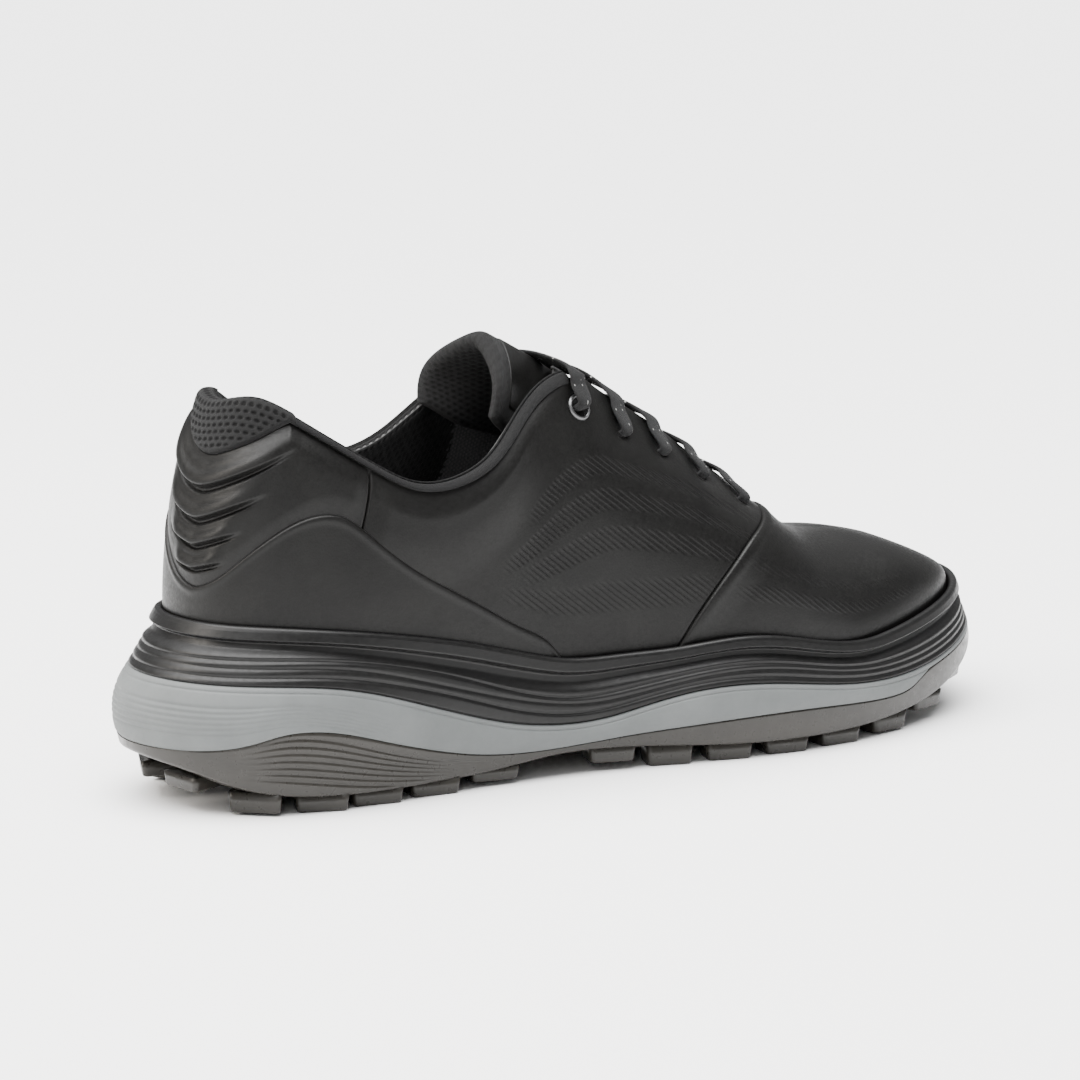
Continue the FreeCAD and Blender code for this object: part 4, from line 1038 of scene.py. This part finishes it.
def make_black_midsole():
    t = ring_stations()
    y = feather_y(t)
    low = black_grey_z(y)
    lip = lip_z(y)
    rows = []
    for p in np.concatenate([np.linspace(0, 0.62, 84), np.linspace(0.63, 0.97, 40)]):
        z = low + (lip - low) * p
        off = wall_offset(t, z)
        off = off - 0.55 * (1 - smooth(p, 0.0, 0.05))
        off = off - 1.4 * smooth(p, 0.5, 0.66) * smooth(p, 0.84, 0.74)
        off = off + 0.9 * smooth(p, 0.76, 0.84)
        for line, depth in BLACK_GROOVES:
            middle = spline(line)(y)
            width = 0.55 / np.maximum(lip - low, 6)
            off = off - depth * np.exp(-(((p - middle) / width) ** 2))
        rows.append((off, z))
    bead = wall_offset(t, lip) + 0.9
    half = (bead - 0.7) / 2
    for angle in np.radians(np.linspace(15, 165, 11)):
        rows.append((0.7 + half + half * np.cos(angle), low + (lip - low) * 0.97 + 1.3 * np.sin(angle)))
    floor = floor_z(y) + 0.1
    for off, z in ((0.6, lip - 3), (0.5, floor + 1), (0.4, floor), (-9.0, floor), (-10.0, floor - 1.0)):
        rows.append((np.full_like(t, off), z))
    rows.append((np.full_like(t, -10.0), np.minimum(low, floor - 2.0)))
    return rings("midsole_upper_foam", rows, BLACK_FOAM, "midsole_upper")


def make_grey_midsole():
    t = ring_stations()
    y = feather_y(t)
    low = grey_smoke_z(y)
    high = black_grey_z(y)
    rows = []
    heel = smooth(y, 75, 45)
    for p in np.linspace(0, 1, 90):
        z = low + (high - low) * p
        off = wall_offset(t, z)
        bulge = 0.5 * np.sin(math.pi * p)
        off = off + bulge * smooth(high - low, 2, 8)
        off = off - 0.45 * smooth(p, 0.06, 0.0)
        edge = (high - z - 1.5) / 0.28
        off = off - 0.32 * np.exp(-edge * edge)
        off = off - 0.5 * smooth(high - z, 0.5, 0.0)
        for k in range(6):
            drop = 0.30 + 0.085 * k + 0.0042 * (y - 20)
            line = (1 - p - drop) * (high - low) / 0.5
            off = off - 0.3 * np.exp(-line * line) * heel * smooth(1 - p, 0.12, 0.25)
        rows.append((off, z))
    for off, z in ((-12.0, high), (-12.0, low)):
        rows.append((np.full_like(t, off), z))
    return rings("midsole_lower_foam", rows, GREY_FOAM, "midsole_lower")


def cap(row, next_index):
    """Vertices and faces that close a ring of matching lateral and medial stations with lines across the shoe."""
    half = SOLE_COLUMNS
    across = 40
    lateral = row[:half]
    medial = np.concatenate([row[:1], row[: half - 2 : -1]])
    w = np.linspace(0, 1, across)[1:-1, None]
    inner = lateral[:, None] * (1 - w) + medial[:, None] * w
    left = np.arange(half)
    right = np.concatenate([[0], len(row) - np.arange(1, half - 1), [half - 1]])
    body = next_index + np.arange(half * (across - 2)).reshape(half, across - 2)
    index = np.concatenate([left[:, None], body, right[:, None]], 1)
    quads = np.stack([index[:-1, :-1], index[1:, :-1], index[1:, 1:], index[:-1, 1:]], -1).reshape(-1, 4)
    return inner, quads


def outsole_wall(t, low, high):
    """Rows of the shell's side, from the grey foam down to its rounded foot, with flowing grooves at the heel."""
    y = feather_y(t)
    lobe = smooth(y, 22, 42) * smooth(y, 118, 85)
    rows = []
    for p in np.linspace(1, 0.0, 60):
        z = low + (high - low) * p
        off = wall_offset(t, z) - 0.25 - 0.3 * smooth(p, 0.94, 1.0)
        for k in range(7):
            line = (p - 0.92 + 0.11 * k + 0.0052 * (y - 40)) * (high - low) / 0.55
            off = off - 0.42 * np.exp(-line * line) * lobe * smooth(p, 1.0, 0.9)
        rows.append(points(*feather(t, off - rounded(z - low, 1.6)), z))
    return rows


def make_outsole():
    """The smoky rubber shell: side wall, rounded foot and the sheet under the whole shoe."""
    t = ring_stations()
    high = grey_smoke_z(feather_y(t))
    low = np.minimum(base_z(feather(t, flare(t) * 0.8)[1]), high - 0.8)
    outer = outsole_wall(t, low, high)
    inner = []
    for p in (0.0, 0.5, 1.0):
        z = low + OUTSOLE_SKIN + np.maximum(high - low - OUTSOLE_SKIN, 0.3) * p
        inner.append(points(*feather(t, wall_offset(t, z) - 4.5), z))
    rows = np.stack(outer + inner, 1)
    n, m = rows.shape[:2]
    k = len(outer)
    index = np.arange(n * m).reshape(n, m)
    quads = []
    for j0, j1 in [(j, j + 1) for j in range(k - 1)] + [(k, k + 1), (k + 1, k + 2), (m - 1, 0)]:
        a, b = index[:, j0], index[:, j1]
        quads.append(np.stack([a, b, np.roll(b, -1), np.roll(a, -1)], -1))
    verts = [rows.reshape(-1, 3)]
    count = n * m
    for column, lift in ((k - 1, 0.0), (k, OUTSOLE_SKIN)):
        fill, faces = cap(rows[:, column], count)
        fill[..., 2] = base_z(fill[..., 1]) + lift
        ring = faces < count
        faces[ring] = index[:, column][faces[ring]]
        quads.append(faces)
        verts.append(fill.reshape(-1, 3))
        count += fill.shape[0] * fill.shape[1]
    verts = np.concatenate(verts)
    return build("outsole_rubber", verts, np.concatenate(quads), SMOKE, "shoe", ("outsole",),
                 verts[:, :2])


LUG_WIDTH = 12.5
HEEL_LUG_LENGTH = 15.0
FOREFOOT_LUG_LENGTH = 14.0
LUG_INSET = 0.8
LUG_EDGE_STATIONS = [0.55, 1.6, 2.5, 3.15, 3.75, 4.35, 5.5, 6.05, 6.65, 7.25, 7.85, 8.5, 9.15, 9.8, 10.45]
LUG_INNER_ROWS = [38, 54, 70, 86, 170, 186, 202, 218, 234, 250, 266]
MIDDLE_OF_ARCH = 125


def lug_mesh(x, y, length, width, turn):
    """A lug with rounded corners and foot, as rows of an outline from its root to its foot."""
    foot = max(float(lug_z(y)), 0.0)
    top = float(base_z(y)) + 0.6
    levels = ((0.5, top), (0.15, (top + foot) / 2), (0, foot + 0.8), (-0.25, foot + 0.25), (-0.8, foot), (-2.5, foot))
    corners = np.array([(-1, -0.72), (1, -1), (0.86, 1), (-0.8, 0.8)]) * [length / 2, width / 2]
    outline = []
    for k in range(4):
        before, here, after = corners[k - 1], corners[k], corners[(k + 1) % 4]
        for q in np.linspace(0, 1, 6):
            start = here + unit(before - here) * 1.8
            end = here + unit(after - here) * 1.8
            outline.append((1 - q) ** 2 * start + 2 * q * (1 - q) * here + q * q * end)
    outline = np.array(outline)
    c, s = math.cos(turn), math.sin(turn)
    rows = []
    for grow, z in levels:
        flat = outline * (1 + grow * 2 / np.array([length, width]))
        px = x + flat[:, 0] * c - flat[:, 1] * s
        py = y + flat[:, 0] * s + flat[:, 1] * c
        rows.append(points(px, py, np.full(len(px), z)))
    return np.stack(rows, 1)


def lug_places():
    """Middle, length, width and turn of every lug: along both rims, and in pairs down the middle."""
    for side in (1, -1):
        for s in LUG_EDGE_STATIONS:
            t = side * s
            edge = LIP_WALL + (flare(t) - LIP_WALL) * wall_share(0)
            x, y = feather(t, edge - LUG_INSET - LUG_WIDTH / 2)
            ahead, behind = feather(t + 0.05), feather(t - 0.05)
            length = HEEL_LUG_LENGTH if y < MIDDLE_OF_ARCH else FOREFOOT_LUG_LENGTH
            yield x, y, length, LUG_WIDTH, math.atan2(ahead[1] - behind[1], ahead[0] - behind[0])
        for k, y in enumerate(LUG_INNER_ROWS):
            reach = 9.0 if y < 100 or y > 245 else 13.5
            yield side * reach - 1.5, y, 11.0, 8.0, math.radians(side * (35 if k % 2 else -35))


def make_lugs(node, wanted):
    verts, quads, count = [], [], 0
    for place in lug_places():
        if not wanted(place[1]):
            continue
        rows = lug_mesh(*place)
        n, m = rows.shape[:2]
        verts += [rows.reshape(-1, 3), rows[:, 0].mean(0)[None], rows[:, -1].mean(0)[None]]
        quads += grid_quads(n, m, count, True, False).tolist()
        top, foot = count + n * m, count + n * m + 1
        for i in range(n):
            j = (i + 1) % n
            quads.append([top, count + i * m, count + j * m])
            quads.append([foot, count + j * m + m - 1, count + i * m + m - 1])
        count += n * m + 2
    build(node + "_rubber", np.concatenate(verts), quads, SMOKE, "shoe", (node,))


# ---------------------------------------------------------------- CAD nodes that stay
def dress(node, look):
    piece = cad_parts[node]
    piece.data.materials.clear()
    piece.data.materials.append(look)
    piece.data.polygons.foreach_set("use_smooth", [True] * len(piece.data.polygons))


def dress_frame():
    for node in ("vamp_lining", "quarter_lining_lateral", "quarter_lining_medial", "footbed_cover", "tongue_label"):
        dress(node, KNIT)
    for node in ("toe_puff", "heel_counter", "eyestay_backing_lateral", "eyestay_backing_medial"):
        dress(node, INNER_LOOKS["stiffener"])
    for node in ("collar_foam", "footbed_foam"):
        dress(node, INNER_LOOKS["foam"])
    for node in ("shank", "lasting_board"):
        dress(node, INNER_LOOKS[node])


# ---------------------------------------------------------------- studio
CAMERA_AZIMUTH = 57.0
CAMERA_ELEVATION = 10.0
CAMERA_DISTANCE = 1.0
CAMERA_LENS = 109.3
AIM = (0.0, 143.0, 64.0)


def put(name, data, place, towards):
    """An object at a place, looking towards a point, both in metres."""
    thing = bpy.data.objects.new(name, data)
    thing.location = place
    thing.rotation_euler = (Vector(towards) - Vector(place)).to_track_quat("-Z", "Y").to_euler()
    bpy.context.scene.collection.objects.link(thing)
    return thing


def add_area(name, place, aim, size, power, color):
    data = bpy.data.lights.new(name, "AREA")
    data.shape = "RECTANGLE"
    data.size, data.size_y = size
    data.energy = power
    data.color = color
    put(name, data, place, aim)


def make_camera(a, e):
    aim = place_in_frame(AIM)
    back = np.array([math.sin(a) * math.cos(e), -math.cos(a) * math.cos(e), math.sin(e)])
    data = bpy.data.cameras.new("camera")
    data.lens = CAMERA_LENS
    data.sensor_width = 36
    data.clip_start, data.clip_end = 0.05, 200
    bpy.context.scene.camera = put("camera", data, aim + back * CAMERA_DISTANCE, aim)


def make_lights(a):
    world = bpy.data.worlds.new("world")
    world.use_nodes = True
    world.node_tree.nodes["Background"].inputs["Color"].default_value = (1, 1, 1, 1)
    world.node_tree.nodes["Background"].inputs["Strength"].default_value = 0.4
    bpy.context.scene.world = world
    right = np.array([math.cos(a), math.sin(a), 0])
    near = np.array([math.sin(a), -math.cos(a), 0])
    up = np.array([0, 0, 1.0])
    center = np.array([0, 0, 0.05])
    left = center - right * 1.1 + near * 0.35 + up * 0.75
    add_area("back_left", left, center, (0.5, 0.9), 17, (1.0, 0.94, 0.86))
    add_area("overhead", center + up * 1.4 + near * 0.2, center, (0.9, 1.4), 9, (1.0, 0.98, 0.95))
    add_area("front", center + near * 1.3 - right * 0.3 + up * 0.5, center, (0.6, 0.6), 3.0, (1.0, 0.99, 0.98))
    sun = bpy.data.lights.new("sky", "SUN")
    sun.energy = 13.0
    sun.angle = math.radians(70)
    lamp = bpy.data.objects.new("sky", sun)
    lamp.rotation_euler = (math.radians(8), 0, 0)
    bpy.context.scene.collection.objects.link(lamp)


def make_floor():
    mesh = bpy.data.meshes.new("floor")
    size = 80
    mesh.from_pydata([(-size, -size, 0), (size, -size, 0), (size, size, 0), (-size, size, 0)], [], [(0, 1, 2, 3)])
    mesh.materials.append(Look("floor_paint", (0.9, 0.9, 0.9), 0.9, Specular_IOR_Level=0.1).material)
    piece = bpy.data.objects.new("floor", mesh)
    bpy.context.scene.collection.objects.link(piece)


azimuth = math.radians(CAMERA_AZIMUTH)
make_camera(azimuth, math.radians(CAMERA_ELEVATION))
make_floor()
make_lights(azimuth)
make_black_midsole()
make_grey_midsole()
make_outsole()
make_lugs("heel_lugs", lambda y: y < MIDDLE_OF_ARCH)
make_lugs("forefoot_lugs", lambda y: y >= MIDDLE_OF_ARCH)
make_heel_panel()
make_heel_tab()
make_foxing()
make_quarter(1, "lateral")
make_quarter(-1, "medial")
make_vamp()
make_binding()
make_collar_lining()
make_tongue_pad()
make_tongue_leather()
make_laces()
make_eyelets()
dress_frame()
